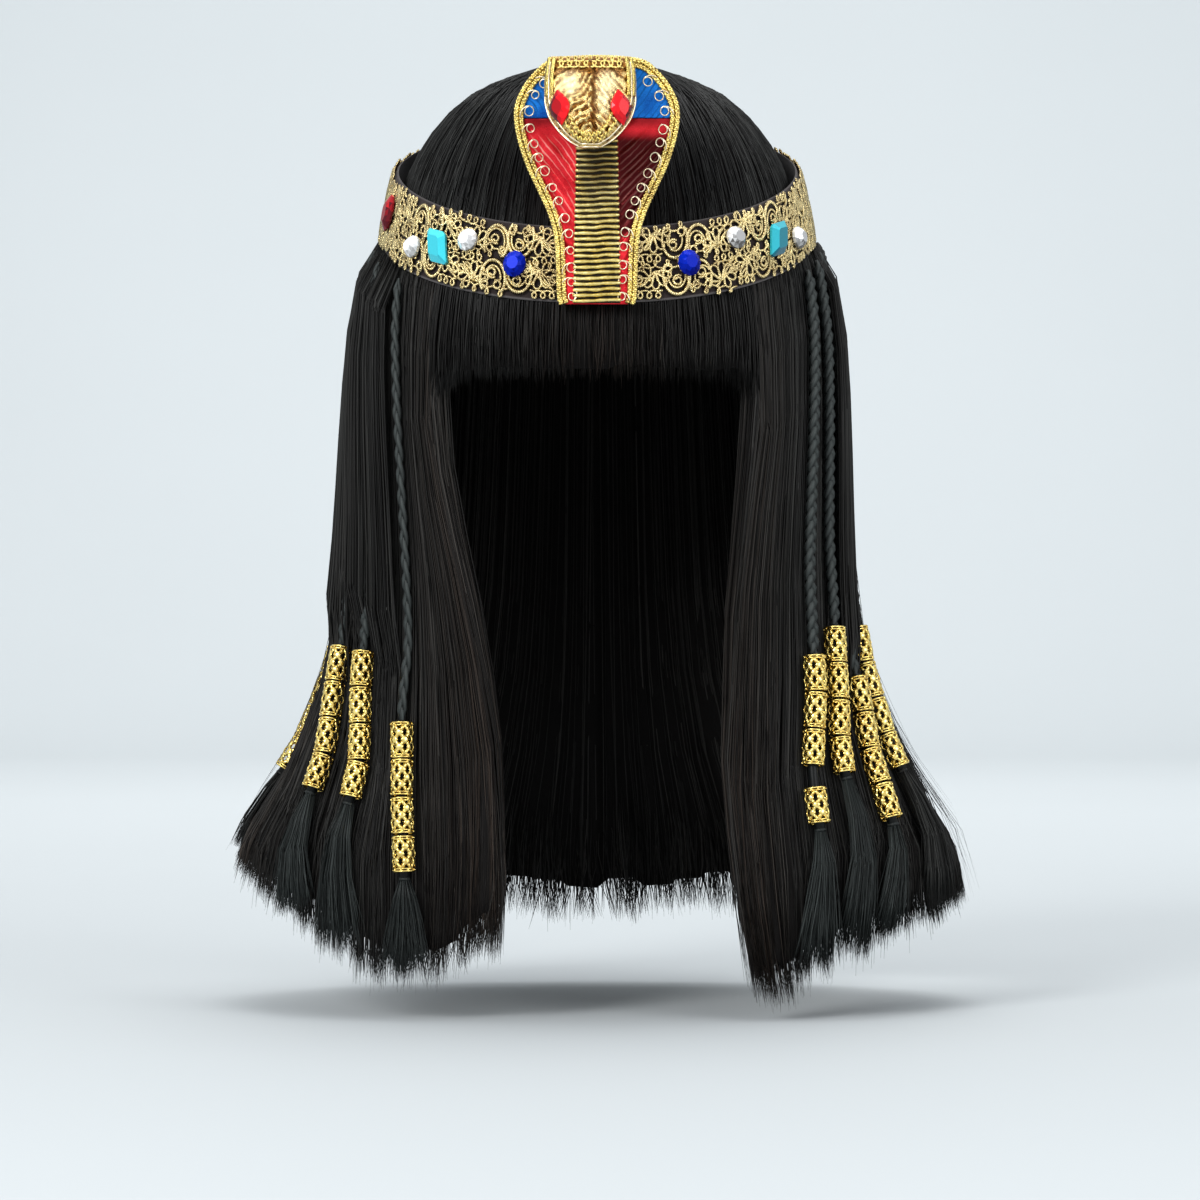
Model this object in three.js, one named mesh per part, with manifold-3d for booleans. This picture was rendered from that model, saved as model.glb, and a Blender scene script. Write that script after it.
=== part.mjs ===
// Straight black bob wig with a full fringe and a snake headband.
// Eight thin braids hang over the hair, each through four pierced gold tube beads, and end in a tuft.
// The headband is a ribbon with gold lace and glass stones, and a cobra stands up from its middle.
// Millimetres, +Z up, the opening at the front looks towards -Y. The origin is the inside of the crown.
import * as THREE from "three";
import { mergeVertices } from "three/addons/utils/BufferGeometryUtils.js";
import Module from "manifold-3d";

const wasm = await Module();
wasm.setup();

// Driving dimensions
const gap = 0.3; // clearance between neighbouring pieces
const weld = 0.001; // points closer than this are one

const hair = {
  crown: 10, // outer top above the origin
  wall: 10, // thickness of the hair on the head
  tipWall: 7, // thickness at the cut ends
  thinAt: -312, // where the wall has come down to that thickness
  squareness: 2.2, // exponent of the rounded section
  locks: 30, // ridges round the head
  lockDepth: 2.8, // grooves between the locks at the cut ends
  lockTip: 4, // how far a lock's tip hangs below the groove beside it
  groovesFrom: -100, // the hair is smooth above this height, where the headband lies
  curtainRows: 4,
  innerColumns: 32,
  curtainFrom: -248, // below this height the rows follow the cut ends
};

const band = {
  frontZ: -81, // height of the ribbon's middle at the brow
  rise: 79.5, // how the ribbon climbs towards the back of the head
  riseFade: 19.5, // and how that climb fades
  width: 30,
  thickness: 1,
  clearance: 0.8, // over the hair, whose surface is faceted
  flare: 4, // how far its upper edge stands off the hair at the sides
  columns: 48,
};

const lace = {
  width: 26,
  thickness: 1.2,
  reach: 112, // degrees round each side from the brow
  scallops: 24,
  scallopDepth: 1.6,
  slotLength: 8, // gap between the two rows of lace
  slotHeight: 3,
};

const bead = {
  length: 13.8,
  radius: 4.4,
  bore: 3.6,
  sides: 10,
  pitch: 14.9, // leaves room for the bend from bead to bead
  windowWidth: 2.1,
  windowHeight: 6.5,
  windowFacets: [0, 5],
  turn: 1.3, // radians that each bead is turned against the one above
};

const braid = {
  radius: 2.9,
  plait: 0.45, // sideways wave of the plaited strands
  sides: 5,
  sections: 13, // above the beads
  tuftSections: 4,
  tuftSpread: 9, // half width of the tuft at its cut end
  tuftThickness: 2.4,
  clearance: 0.6, // over the hair
  belowBand: 4, // where it comes out from under the ribbon
  liftLength: 40, // over which it rises to the first bead
  swing: 0.25, // share of its sideways way still to go there
  aboveEnds: 3, // its tip over the cut ends of the hair
};

const hood = {
  height: 94.8,
  baseZ: -96.8,
  thickness: 4,
  rimWidth: 4,
  rimThickness: 5.4,
  lean: 9, // how far the top curves forward over the brow
  blueFrom: 71,
  bellyTop: 66,
  bellyFoot: 9, // half width of the belly strip at the foot
  bellyNeck: 7.7, // and under the head
  bellyThickness: 0.8,
  rungs: 30,
  rungDepth: 0.9,
};

// Outside of the hair at each height: half width, depth to the brow and depth to the nape
const hairSections = [
  { z: 7.5, side: 22.5, front: 25, back: 26.5 },
  { z: -4, side: 50, front: 57, back: 60 },
  { z: -17, side: 64.4, front: 74, back: 77 },
  { z: -34, side: 75.5, front: 88, back: 91 },
  { z: -50, side: 82, front: 97, back: 100 },
  { z: -66, side: 87, front: 102.5, back: 105.5 },
  { z: -90, side: 92.5, front: 107.5, back: 109 },
  { z: -106, side: 95, front: 109.3, back: 110 },
  { z: -124, side: 96.5, front: 110, back: 110 },
  { z: -190, side: 101, front: 104, back: 102 },
  { z: -226, side: 105.5, front: 97, back: 96.5 },
  { z: -248, side: 112.5, front: 95, back: 95 },
  { z: -272, side: 122, front: 93, back: 95 },
  { z: -296, side: 138, front: 93, back: 97 },
  { z: -313, side: 147, front: 93, back: 98 },
  { z: -370, side: 156, front: 93, back: 100 },
];

// Height of the cut ends round the head on each side, by angle from the brow
const hairEnds = [
  { angle: 0, left: -346, right: -346 },
  { angle: 14, left: -346, right: -346 },
  { angle: 19, left: -354, right: -352 },
  { angle: 24, left: -359, right: -368 },
  { angle: 30, left: -359, right: -358 },
  { angle: 41, left: -348, right: -349 },
  { angle: 56, left: -330, right: -338 },
  { angle: 75, left: -319, right: -332 },
  { angle: 90, left: -315, right: -330 },
  { angle: 120, left: -322, right: -332 },
  { angle: 150, left: -338, right: -340 },
  { angle: 180, left: -345, right: -345 },
];

// Opening at the front: its edge to the left and right of the middle at each height
const faceOpening = [
  { z: -390, left: 43, right: 70 },
  { z: -345, left: 41, right: 61 },
  { z: -316, left: 39, right: 57 },
  { z: -287, left: 39.5, right: 54 },
  { z: -260, left: 41.5, right: 54 },
  { z: -236, left: 45.5, right: 54.5 },
  { z: -214, left: 50, right: 55.5 },
  { z: -198, left: 53.5, right: 57 },
  { z: -180, left: 58, right: 59 },
  { z: -160, left: 62, right: 61 },
  { z: -142, left: 65, right: 64 },
  { z: -128, left: 60, right: 60 },
];
const fringe = { edgeZ: -124, teeth: 14, tooth: 2.4 };

// Where each braid lies, by angle from the brow at the ribbon, at its first and last bead and at its tip
const braids = {
  left: [
    { atBand: 54, atFirst: 37.5, atLast: 27.6, atTip: 26.5, firstZ: -258, spread: 1, dropLast: 0 },
    { atBand: 69, atFirst: 54.5, atLast: 43, atTip: 39, firstZ: -230.5, spread: 1, dropLast: 0 },
    { atBand: 80, atFirst: 65.5, atLast: 54.5, atTip: 50, firstZ: -229, spread: 1, dropLast: 0 },
    { atBand: 102, atFirst: 106, atLast: 103, atTip: 101, firstZ: -227, spread: 1, dropLast: 0 },
  ],
  right: [
    { atBand: 62, atFirst: 48.3, atLast: 35.3, atTip: 31.5, firstZ: -232, spread: 0.9, dropLast: 8 },
    { atBand: 71, atFirst: 58, atLast: 46.5, atTip: 39, firstZ: -221, spread: 0.7, dropLast: 0 },
    { atBand: 79, atFirst: 63, atLast: 52.5, atTip: 46, firstZ: -241, spread: 0.7, dropLast: 0 },
    { atBand: 89, atFirst: 71.5, atLast: 67, atTip: 62, firstZ: -221, spread: 1, dropLast: 0 },
  ],
};
const beadsPerBraid = 4;

// Stones on the lace: angle from the brow on each side and height above the ribbon's middle
const stones = [
  { name: "blue", cut: "oval", look: "blue", left: 17.5, right: 20, rise: -2 },
  { name: "clear_front", cut: "round", look: "clear", left: 30.5, right: 33.5, rise: 4.5 },
  { name: "turquoise", cut: "baguette", look: "turquoise", left: 39.5, right: 48, rise: -1 },
  { name: "clear_side", cut: "round", look: "clear", left: 49, right: 58, rise: -4.5 },
  { name: "red", cut: "cabochon", look: "redGlass", left: 66, right: 98, rise: 2 },
];

// Half width of the cobra's hood at each height above its foot
const hoodOutline = [
  { height: 0, half: 14.5 },
  { height: 4, half: 15.5 },
  { height: 24, half: 16.3 },
  { height: 34, half: 18.7 },
  { height: 42, half: 22.2 },
  { height: 53, half: 27.3 },
  { height: 64, half: 30.8 },
  { height: 74, half: 31.8 },
  { height: 82, half: 29 },
  { height: 89, half: 23.5 },
  { height: 93.5, half: 16.5 },
  { height: 94.8, half: 0.01 },
];

// The cobra's head from its flat top down to the snout: half width, and how far its face and its throat
// stand forward of the hood
const headSections = [
  { height: 93.4, half: 16, face: 7, throat: 2 },
  { height: 89.5, half: 16.8, face: 13, throat: 0.6 },
  { height: 83, half: 17.4, face: 18, throat: 0.6 },
  { height: 76.5, half: 17.4, face: 21.5, throat: 0.8 },
  { height: 71, half: 16.2, face: 23.5, throat: 2.5 },
  { height: 65.4, half: 12.9, face: 24.6, throat: 8 },
  { height: 60.8, half: 8.4, face: 23.5, throat: 14 },
  { height: 57.6, half: 3.2, face: 22, throat: 18 },
];
const head = {
  columns: 12,
  bulge: 0.45, // exponent of its rounded face
  across: -2.5, // it sits a little to the left of the hood's middle
};

const eye = { length: 13.8, width: 8.8, height: 2.6, across: 11, up: 72.6, tiltLeft: 10, tiltRight: 8 };

// Finishes
const finish = (colour, roughness, metalness) =>
  new THREE.MeshStandardMaterial({ color: colour, roughness, metalness });
const finishes = {
  hair: finish(0x16130f, 0.45, 0),
  ribbon: finish(0x1d1414, 0.9, 0),
  gold: finish(0xd6a83a, 0.3, 1),
  goldCloth: finish(0xc9a24a, 0.4, 0.9),
  red: finish(0xb0101e, 0.35, 0.4),
  blueCloth: finish(0x1452b8, 0.5, 0),
  blue: finish(0x1020d0, 0.1, 0),
  clear: finish(0xe8eef2, 0.05, 0),
  turquoise: finish(0x15b5c8, 0.1, 0),
  redGlass: finish(0xc8101c, 0.1, 0),
};

// Shape helpers

const radians = THREE.MathUtils.degToRad;

// Value of a table's column between its rows, on a curve that never overshoots them
function between(rows, key, column, at) {
  const last = rows.length - 1;
  const ordered = Math.sign(rows[last][key] - rows[0][key]);
  if (ordered * (at - rows[0][key]) <= 0) return rows[0][column];
  if (ordered * (at - rows[last][key]) >= 0) return rows[last][column];
  const slope = (i) => (rows[i + 1][column] - rows[i][column]) / (rows[i + 1][key] - rows[i][key]);
  const tangent = (i) => {
    if (i === 0) return slope(0);
    if (i === last) return slope(last - 1);
    const [before, after] = [slope(i - 1), slope(i)];
    return before * after <= 0 ? 0 : (2 * before * after) / (before + after);
  };
  const i = rows.findIndex((row, n) => n < last && ordered * (at - rows[n + 1][key]) <= 0);
  const span = rows[i + 1][key] - rows[i][key];
  const t = (at - rows[i][key]) / span;
  return (
    (1 + 2 * t) * (1 - t) ** 2 * rows[i][column] +
    t * (1 - t) ** 2 * span * tangent(i) +
    t * t * (3 - 2 * t) * rows[i + 1][column] -
    t * t * (1 - t) * span * tangent(i + 1)
  );
}

const mix = THREE.MathUtils.lerp;
const ramp = (from, to, at) => THREE.MathUtils.clamp((at - from) / (to - from), 0, 1);

// Closed skin over rings of points: capped at both ends, or joined round into a loop
function loft(rings, joined = false) {
  const size = rings[0].length;
  const points = rings.flat();
  const faces = [];
  const quads = (a, b) => {
    for (let i = 0; i < size; i++) {
      const j = (i + 1) % size;
      faces.push(a + i, a + j, b + j, a + i, b + j, b + i);
    }
  };
  for (let r = 0; r + 1 < rings.length; r++) quads(r * size, (r + 1) * size);
  if (joined) {
    quads((rings.length - 1) * size, 0);
  } else {
    const cap = (start, turned) => {
      const middle = points.length;
      const ring = points.slice(start, start + size);
      points.push(ring.reduce((sum, p) => sum.add(p), new THREE.Vector3()).divideScalar(size));
      for (let i = 0; i < size; i++) {
        const pair = [start + i, start + ((i + 1) % size)];
        faces.push(middle, pair[turned ? 0 : 1], pair[turned ? 1 : 0]);
      }
    };
    cap(0, false);
    cap((rings.length - 1) * size, true);
  }
  const geometry = new THREE.BufferGeometry().setFromPoints(points);
  geometry.setIndex(faces);
  return facingOut(geometry);
}

// The same geometry with its vertices merged and its faces turned outwards
function facingOut(geometry) {
  const bare = geometry.clone();
  for (const name of Object.keys(bare.attributes)) if (name !== "position") bare.deleteAttribute(name);
  const merged = mergeVertices(bare, weld);
  const place = merged.attributes.position;
  const index = merged.index.array;
  const corner = (i) => new THREE.Vector3().fromBufferAttribute(place, index[i]);
  let volume = 0;
  for (let i = 0; i < index.length; i += 3) volume += corner(i).dot(corner(i + 1).cross(corner(i + 2)));
  if (volume < 0) {
    for (let i = 0; i < index.length; i += 3) [index[i], index[i + 1]] = [index[i + 1], index[i]];
  }
  return merged;
}

function solid(geometry) {
  const merged = facingOut(geometry);
  return new wasm.Manifold(
    new wasm.Mesh({
      numProp: 3,
      vertProperties: new Float32Array(merged.attributes.position.array),
      triVerts: new Uint32Array(merged.index.array),
    }),
  );
}

function geometryOf(made) {
  const mesh = made.asOriginal().simplify(weld).getMesh();
  const geometry = new THREE.BufferGeometry();
  geometry.setAttribute("position", new THREE.BufferAttribute(new Float32Array(mesh.vertProperties), 3));
  geometry.setIndex(new THREE.BufferAttribute(new Uint32Array(mesh.triVerts), 1));
  return geometry;
}

function piece(name, geometry, material) {
  const mesh = new THREE.Mesh(geometry, material);
  mesh.name = name;
  return mesh;
}

// Hair

// Point on the outside of the hair; the angle runs from the brow, positive towards +X
function hairPoint(angle, z) {
  const [s, c] = [Math.sin(radians(angle)), Math.cos(radians(angle))];
  const rounded = (v) => Math.sign(v) * Math.abs(v) ** (2 / hair.squareness);
  const depth = between(hairSections, "z", c > 0 ? "front" : "back", z);
  return new THREE.Vector3(between(hairSections, "z", "side", z) * rounded(s), -depth * rounded(c), z);
}

// Unit vectors at that point: out of the hair, up along it and round it
function hairFrame(angle, z) {
  const step = 0.5;
  const around = hairPoint(angle + step, z).sub(hairPoint(angle - step, z)).normalize();
  const up = hairPoint(angle, z + step).sub(hairPoint(angle, z - step)).normalize();
  const out = new THREE.Vector3().crossVectors(around, up).normalize();
  return { out, up, around: new THREE.Vector3().crossVectors(up, out).normalize() };
}

function overHair(angle, z, height) {
  return hairPoint(angle, z).addScaledVector(hairFrame(angle, z).out, height);
}

// Height of the cut ends at an angle from the brow
function hairEnd(angle) {
  const wrapped = ((angle + 540) % 360) - 180;
  return between(hairEnds, "angle", wrapped < 0 ? "left" : "right", Math.abs(wrapped));
}

// One ring of the outside, with a groove at every second column below the headband
function outerRing(rowZ, share) {
  const columns = 2 * hair.locks;
  return Array.from({ length: columns }, (_, i) => {
    const angle = (360 * i) / columns - 180;
    const groove = i % 2;
    const end = hairEnd(angle) + groove * hair.lockTip;
    const z = share === undefined ? rowZ : mix(hair.curtainFrom, end, share);
    const depth = groove * hair.lockDepth * ramp(hair.groovesFrom, hair.thinAt, z);
    return overHair(angle, z, -depth);
  });
}

function innerRing(z) {
  return Array.from({ length: hair.innerColumns }, (_, i) => {
    const wall = mix(hair.wall, hair.tipWall, ramp(hair.curtainFrom, hair.thinAt, z));
    return overHair((360 * i) / hair.innerColumns - 180, z, -wall);
  });
}

// A ring drawn together almost to a point, which closes the crown
function apex(ring, z) {
  const pinch = 0.01;
  return ring.map((p) => new THREE.Vector3(p.x * pinch, p.y * pinch, z));
}

function wigHair() {
  const upper = hairSections.map((row) => row.z).filter((z) => z >= hair.curtainFrom);
  const rings = upper.map((z) => outerRing(z));
  for (let row = 1; row <= hair.curtainRows; row++) rings.push(outerRing(0, row / hair.curtainRows));
  const outside = loft([apex(rings[0], hair.crown), ...rings]);

  const innerRows = hairSections.filter((row, i) => i % 2 === 0 || row.z < hair.curtainFrom);
  const hollow = innerRows.map((row) => innerRing(row.z));
  const pastEnds = 40;
  const below = hollow.at(-1).map((p) => p.clone().setZ(hairEnd(0) - pastEnds));
  const inside = loft([apex(hollow[0], 0), ...hollow, below]);

  return geometryOf(solid(outside).subtract(solid(inside)).subtract(solid(faceCutter())));
}

// Prism through the front wall, with the fringe's saw-tooth edge along its top
function faceCutter() {
  const top = faceOpening.at(-1);
  const teeth = [];
  for (let i = 1; i < 2 * fringe.teeth; i++) {
    const x = mix(-top.left, top.right, i / (2 * fringe.teeth));
    teeth.push(new THREE.Vector2(x, fringe.edgeZ + (i % 2 ? fringe.tooth / 2 : -fringe.tooth / 2)));
  }
  const outline = [
    ...faceOpening.map((row) => new THREE.Vector2(-row.left, row.z)),
    ...teeth,
    ...faceOpening.toReversed().map((row) => new THREE.Vector2(row.right, row.z)),
  ];
  const throughFront = { depth: 200, bevelEnabled: false };
  return new THREE.ExtrudeGeometry(new THREE.Shape(outline), throughFront).rotateX(Math.PI / 2);
}

// Headband

function bandZ(angle) {
  const back = Math.sin(radians(angle) / 2) ** 2;
  return band.frontZ + band.rise * back - band.riseFade * back * back;
}

// Height on the hair at a distance along its surface above the ribbon's middle
const bandHeight = (angle, rise) => bandZ(angle) + rise * hairFrame(angle, bandZ(angle)).up.z;

// How far the ribbon stands off the hair there, and how steeply
const bandLean = (angle) => (band.flare * Math.sin(radians(angle)) ** 2) / band.width;
const bandFlare = (angle, rise) => bandLean(angle) * (rise + band.width / 2);

// Section of a strip that follows the hair: from its lower edge to its upper edge, outside and inside
function stripSection(angle, low, high, height, thickness) {
  const rises = [low, (low + high) / 2, high];
  const point = (rise, level) => overHair(angle, bandHeight(angle, rise), level + bandFlare(angle, rise));
  const edge = (level) => rises.map((rise) => point(rise, level));
  return [...edge(height), ...edge(height + thickness).toReversed()];
}

function ribbon() {
  const half = band.width / 2;
  const sections = Array.from({ length: band.columns }, (_, i) =>
    stripSection((360 * i) / band.columns, -half, half, band.clearance, band.thickness),
  );
  return loft(sections, true);
}

const laceHeight = band.clearance + band.thickness + gap;

function laceTrim() {
  const columns = 2 * lace.scallops;
  const half = lace.width / 2;
  const sections = [];
  for (let i = 0; i <= columns; i++) {
    const angle = mix(-lace.reach, lace.reach, i / columns);
    const scallop = i % 2 === 0 ? lace.scallopDepth : 0;
    sections.push(stripSection(angle, -half + scallop, half - scallop, laceHeight, lace.thickness));
  }
  let strip = solid(loft(sections));
  for (const side of [-1, 1]) {
    for (const angle of laceSlots(side)) strip = strip.subtract(solid(laceSlot(angle)));
  }
  return geometryOf(strip);
}

// Gaps between the two rows of lace, half way between neighbouring stones
function laceSlots(side) {
  const angles = stones.map((stone) => (side < 0 ? stone.left : stone.right));
  return angles.slice(0, -1).map((angle, i) => (side * (angle + angles[i + 1])) / 2);
}

function laceSlot(angle) {
  const cut = new THREE.BoxGeometry(lace.slotLength, lace.slotHeight, 3 * lace.thickness);
  return cut.applyMatrix4(seat(angle, 0, laceHeight + lace.thickness / 2));
}

// Placing matrix of something that sits over the ribbon: local Z out of the hair, local Y up it
function seat(angle, rise, height) {
  const z = bandHeight(angle, rise);
  const { out, up, around } = hairFrame(angle, z);
  const upright = up.addScaledVector(out, bandLean(angle)).normalize();
  const facing = new THREE.Vector3().crossVectors(around, upright);
  const place = overHair(angle, z, height + bandFlare(angle, rise));
  return new THREE.Matrix4().makeBasis(around, upright, facing).setPosition(place);
}

// Stones, each with its flat back at z 0, a low girdle and a ring of facets up to its table

function cutStone(outline, rise, table) {
  const girdle = 0.3;
  const ring = (share, z) => outline.map((p) => new THREE.Vector3(p.x * share, p.y * share, z));
  return loft([ring(1, 0), ring(1, rise * girdle), ring(table, rise)]);
}

function ovalOutline(width, length) {
  const sides = 10;
  return Array.from({ length: sides }, (_, i) => {
    const turn = (2 * Math.PI * i) / sides;
    return new THREE.Vector2((width / 2) * Math.cos(turn), (length / 2) * Math.sin(turn));
  });
}

function baguetteOutline(width, length, corner) {
  const [w, h] = [width / 2, length / 2];
  const top = [[w, h - corner], [w - corner, h], [corner - w, h], [-w, h - corner]];
  const half = top.map(([x, y]) => new THREE.Vector2(x, y));
  return [...half, ...half.map((p) => p.clone().negate())];
}

function marquiseOutline(width, length) {
  const steps = 5;
  const side = Array.from({ length: steps }, (_, i) => {
    const along = i / steps;
    return new THREE.Vector2((width / 2) * Math.sin(Math.PI * along), length * (along - 0.5));
  });
  return [...side, ...side.map((p) => p.clone().negate())];
}

const stoneCuts = {
  oval: () => cutStone(ovalOutline(9.2, 10.4), 3.4, 0.55),
  round: () => cutStone(ovalOutline(9, 9), 3.4, 0.5),
  baguette: () => cutStone(baguetteOutline(10, 13.5, 1.2), 3.2, 0.6),
  cabochon: () => cutStone(ovalOutline(10, 15), 2.6, 0.5),
};

function stonePieces() {
  const made = new THREE.Group();
  const stoneGap = 0.5; // the lace is curved and the stones' backs are flat
  for (const stone of stones) {
    for (const [side, label] of [[-1, "left"], [1, "right"]]) {
      const geometry = stoneCuts[stone.cut]();
      const mesh = piece(`stone_${stone.name}_${label}`, geometry, finishes[stone.look]);
      const angle = side * stone[label];
      mesh.applyMatrix4(seat(angle, stone.rise, laceHeight + lace.thickness + stoneGap));
      made.add(mesh);
    }
  }
  return made;
}

// Cobra, in its own frame: x across, z up from its foot, y forward is negative

const hoodLean = (height) => hood.lean * (height / hood.height) ** 2;
const hoodPoint = (x, height, forward) => new THREE.Vector3(x, -forward - hoodLean(height), height);
const hoodHalf = (height) => between(hoodOutline, "height", "half", height);

// Border along the hood's edge, from foot to foot over the top, standing proud of both faces
function rimLoft(width, lift) {
  const side = hoodOutline.slice(0, -1).map((row) => new THREE.Vector2(row.half, row.height));
  const around = [
    ...side.map((p) => new THREE.Vector2(-p.x, p.y)),
    new THREE.Vector2(0, hood.height),
    ...side.toReversed(),
  ];
  const edge = new THREE.SplineCurve(around);
  const stations = 30;
  const sections = [];
  for (let i = 0; i <= stations; i++) {
    const at = edge.getPointAt(i / stations);
    const along = edge.getTangentAt(i / stations);
    const inner = at.clone().add(new THREE.Vector2(along.y, -along.x).multiplyScalar(width));
    const front = hood.thickness + lift;
    const corners = [[at, -lift], [inner, -lift], [inner, front], [at, front]];
    sections.push(corners.map(([p, forward]) => hoodPoint(p.x, p.y, forward)));
  }
  return loft(sections);
}

const rimLift = (hood.rimThickness - hood.thickness) / 2;

// Panel of the hood between two heights, cut back to the inside of the rim
function hoodPanel(from, to, rows) {
  const trim = 2; // starts inside the rim's outer edge
  const sections = [];
  for (let i = 0; i <= rows; i++) {
    const height = mix(from, to, i / rows);
    const half = hoodHalf(height) - trim;
    const corners = [[-half, 0], [half, 0], [half, hood.thickness], [-half, hood.thickness]];
    sections.push(corners.map(([x, forward]) => hoodPoint(x, height, forward)));
  }
  const border = solid(rimLoft(hood.rimWidth + gap, 2 * hood.thickness));
  return geometryOf(solid(loft(sections)).subtract(border));
}

// Strip down the front of the hood: a saw-tooth profile drawn out across it and bent to the hood
function hoodBelly() {
  const foot = 0.6;
  const base = hood.thickness + gap;
  const profile = Array.from({ length: 2 * hood.rungs + 1 }, (_, i) => {
    const height = mix(foot, hood.bellyTop, i / (2 * hood.rungs));
    return new THREE.Vector2(base + hood.bellyThickness + (i % 2) * hood.rungDepth, height);
  });
  const outline = [new THREE.Vector2(base, foot), ...profile, new THREE.Vector2(base, hood.bellyTop)];
  const strip = new THREE.ExtrudeGeometry(new THREE.Shape(outline), { depth: 1, bevelEnabled: false });
  const place = strip.attributes.position;
  for (let i = 0; i < place.count; i++) {
    const [forward, height, across] = [place.getX(i), place.getY(i), 2 * place.getZ(i) - 1];
    const half = mix(hood.bellyFoot, hood.bellyNeck, height / hood.bellyTop);
    place.setXYZ(i, ...hoodPoint(across * half, height, forward));
  }
  return facingOut(strip);
}

// Head: each section runs flat along the throat and round over the face
function snakeHead() {
  const base = hood.thickness + rimLift + gap;
  const sections = headSections.map((row) =>
    Array.from({ length: head.columns }, (_, i) => {
      const turn = (Math.PI * i) / (head.columns - 1);
      const bulge = Math.sin(turn) ** head.bulge;
      const x = head.across - row.half * Math.cos(turn);
      return hoodPoint(x, row.height, base + mix(row.throat, row.face, bulge));
    }),
  );
  return loft(sections);
}

// Point of the head's face, across from its middle and up from the hood's foot
function facePoint(across, up) {
  const base = hood.thickness + rimLift + gap;
  const half = between(headSections, "height", "half", up);
  const bulge = Math.sqrt(1 - (across / half) ** 2) ** head.bulge;
  const [throat, face] = ["throat", "face"].map((column) => between(headSections, "height", column, up));
  return hoodPoint(head.across + across, up, base + mix(throat, face, bulge));
}

function eyePiece(side, label, tilt) {
  const geometry = cutStone(marquiseOutline(eye.width, eye.length), eye.height, 0.5);
  const mesh = piece(`eye_${label}`, geometry, finishes.redGlass);
  const across = side * eye.across;
  const step = 1.5;
  const sideways = facePoint(across + step, eye.up).sub(facePoint(across - step, eye.up)).normalize();
  const upward = facePoint(across, eye.up + step).sub(facePoint(across, eye.up - step)).normalize();
  const out = new THREE.Vector3().crossVectors(sideways, upward).normalize();
  const up = new THREE.Vector3().crossVectors(out, sideways).normalize();
  const seatHeight = 0.75; // the stone's flat back stands on the rounded face
  mesh.applyMatrix4(
    new THREE.Matrix4()
      .makeBasis(sideways, up, out)
      .setPosition(facePoint(across, eye.up).addScaledVector(out, seatHeight))
      .multiply(new THREE.Matrix4().makeRotationZ(radians(tilt))),
  );
  return mesh;
}

function cobra() {
  const made = new THREE.Group();
  const blueTop = hood.height - hood.rimWidth + 1;
  made.add(
    piece("hood_red", hoodPanel(0, hood.blueFrom - gap / 2, 10), finishes.red),
    piece("hood_blue", hoodPanel(hood.blueFrom + gap / 2, blueTop, 5), finishes.blueCloth),
    piece("hood_rim", rimLoft(hood.rimWidth, rimLift), finishes.gold),
    piece("hood_belly", hoodBelly(), finishes.goldCloth),
    piece("snake_head", snakeHead(), finishes.goldCloth),
    eyePiece(-1, "left", eye.tiltLeft),
    eyePiece(1, "right", eye.tiltRight),
  );
  const laceFront = -overHair(0, bandHeight(0, -lace.width / 2), laceHeight + lace.thickness).y;
  made.position.set(0, -(laceFront + rimLift + gap), hood.baseZ);
  return made;
}

// Braids

// The line that a braid follows over the hair: close to it at the ribbon, a bead's radius off it further down
function braidCurve(row, side) {
  const topZ = bandHeight(row.atBand, -band.width / 2) - braid.belowBand;
  const liftZ = row.firstZ + braid.liftLength;
  const beadsZ = row.firstZ - beadsPerBraid * bead.pitch - row.dropLast;
  const tipZ = hairEnd(side * row.atTip) + braid.aboveEnds;
  const close = braid.radius + braid.clearance;
  const underBeads = bead.radius + braid.clearance;
  const way = [
    { z: topZ, angle: row.atBand, height: close },
    { z: liftZ, angle: mix(row.atFirst, row.atBand, braid.swing), height: close },
    { z: row.firstZ, angle: row.atFirst, height: underBeads },
    { z: beadsZ, angle: row.atLast, height: underBeads },
    { z: tipZ, angle: row.atTip, height: braid.tuftThickness + 2 * braid.clearance },
  ];
  const steps = 20;
  const points = Array.from({ length: steps + 1 }, (_, i) => {
    const z = mix(topZ, tipZ, i / steps);
    return overHair(side * between(way, "z", "angle", z), z, between(way, "z", "height", z));
  });
  return new THREE.CatmullRomCurve3(points);
}

// Share of the curve's length at which it passes a height
function shareAtHeight(curve, z) {
  let [low, high] = [0, 1];
  for (let i = 0; i < 40; i++) {
    const middle = (low + high) / 2;
    if (curve.getPointAt(middle).z > z) low = middle;
    else high = middle;
  }
  return low;
}

function braidGroup(row, side, name) {
  const made = new THREE.Group();
  const curve = braidCurve(row, side);
  const length = curve.getLength();
  const start = shareAtHeight(curve, row.firstZ);

  let at = start * length;
  for (let n = 1; n <= beadsPerBraid; n++) {
    if (n === beadsPerBraid) at += row.dropLast;
    made.add(beadPiece(`bead_${name}_${n}`, curve, at / length, (at + bead.length) / length, n));
    at += bead.pitch;
  }
  const end = at / length;

  const above = Array.from({ length: braid.sections }, (_, i) => (start * i) / braid.sections);
  const within = Array.from({ length: beadsPerBraid }, (_, i) => mix(start, end, i / beadsPerBraid));
  const tuft = Array.from({ length: braid.tuftSections + 1 }, (_, i) => mix(end, 1, i / braid.tuftSections));
  const rings = [...above, ...within, ...tuft].map((share, i) => braidRing(curve, row, share, i, start, end));
  made.add(piece(`braid_${name}`, loft(rings), finishes.hair));
  return made;
}

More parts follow.
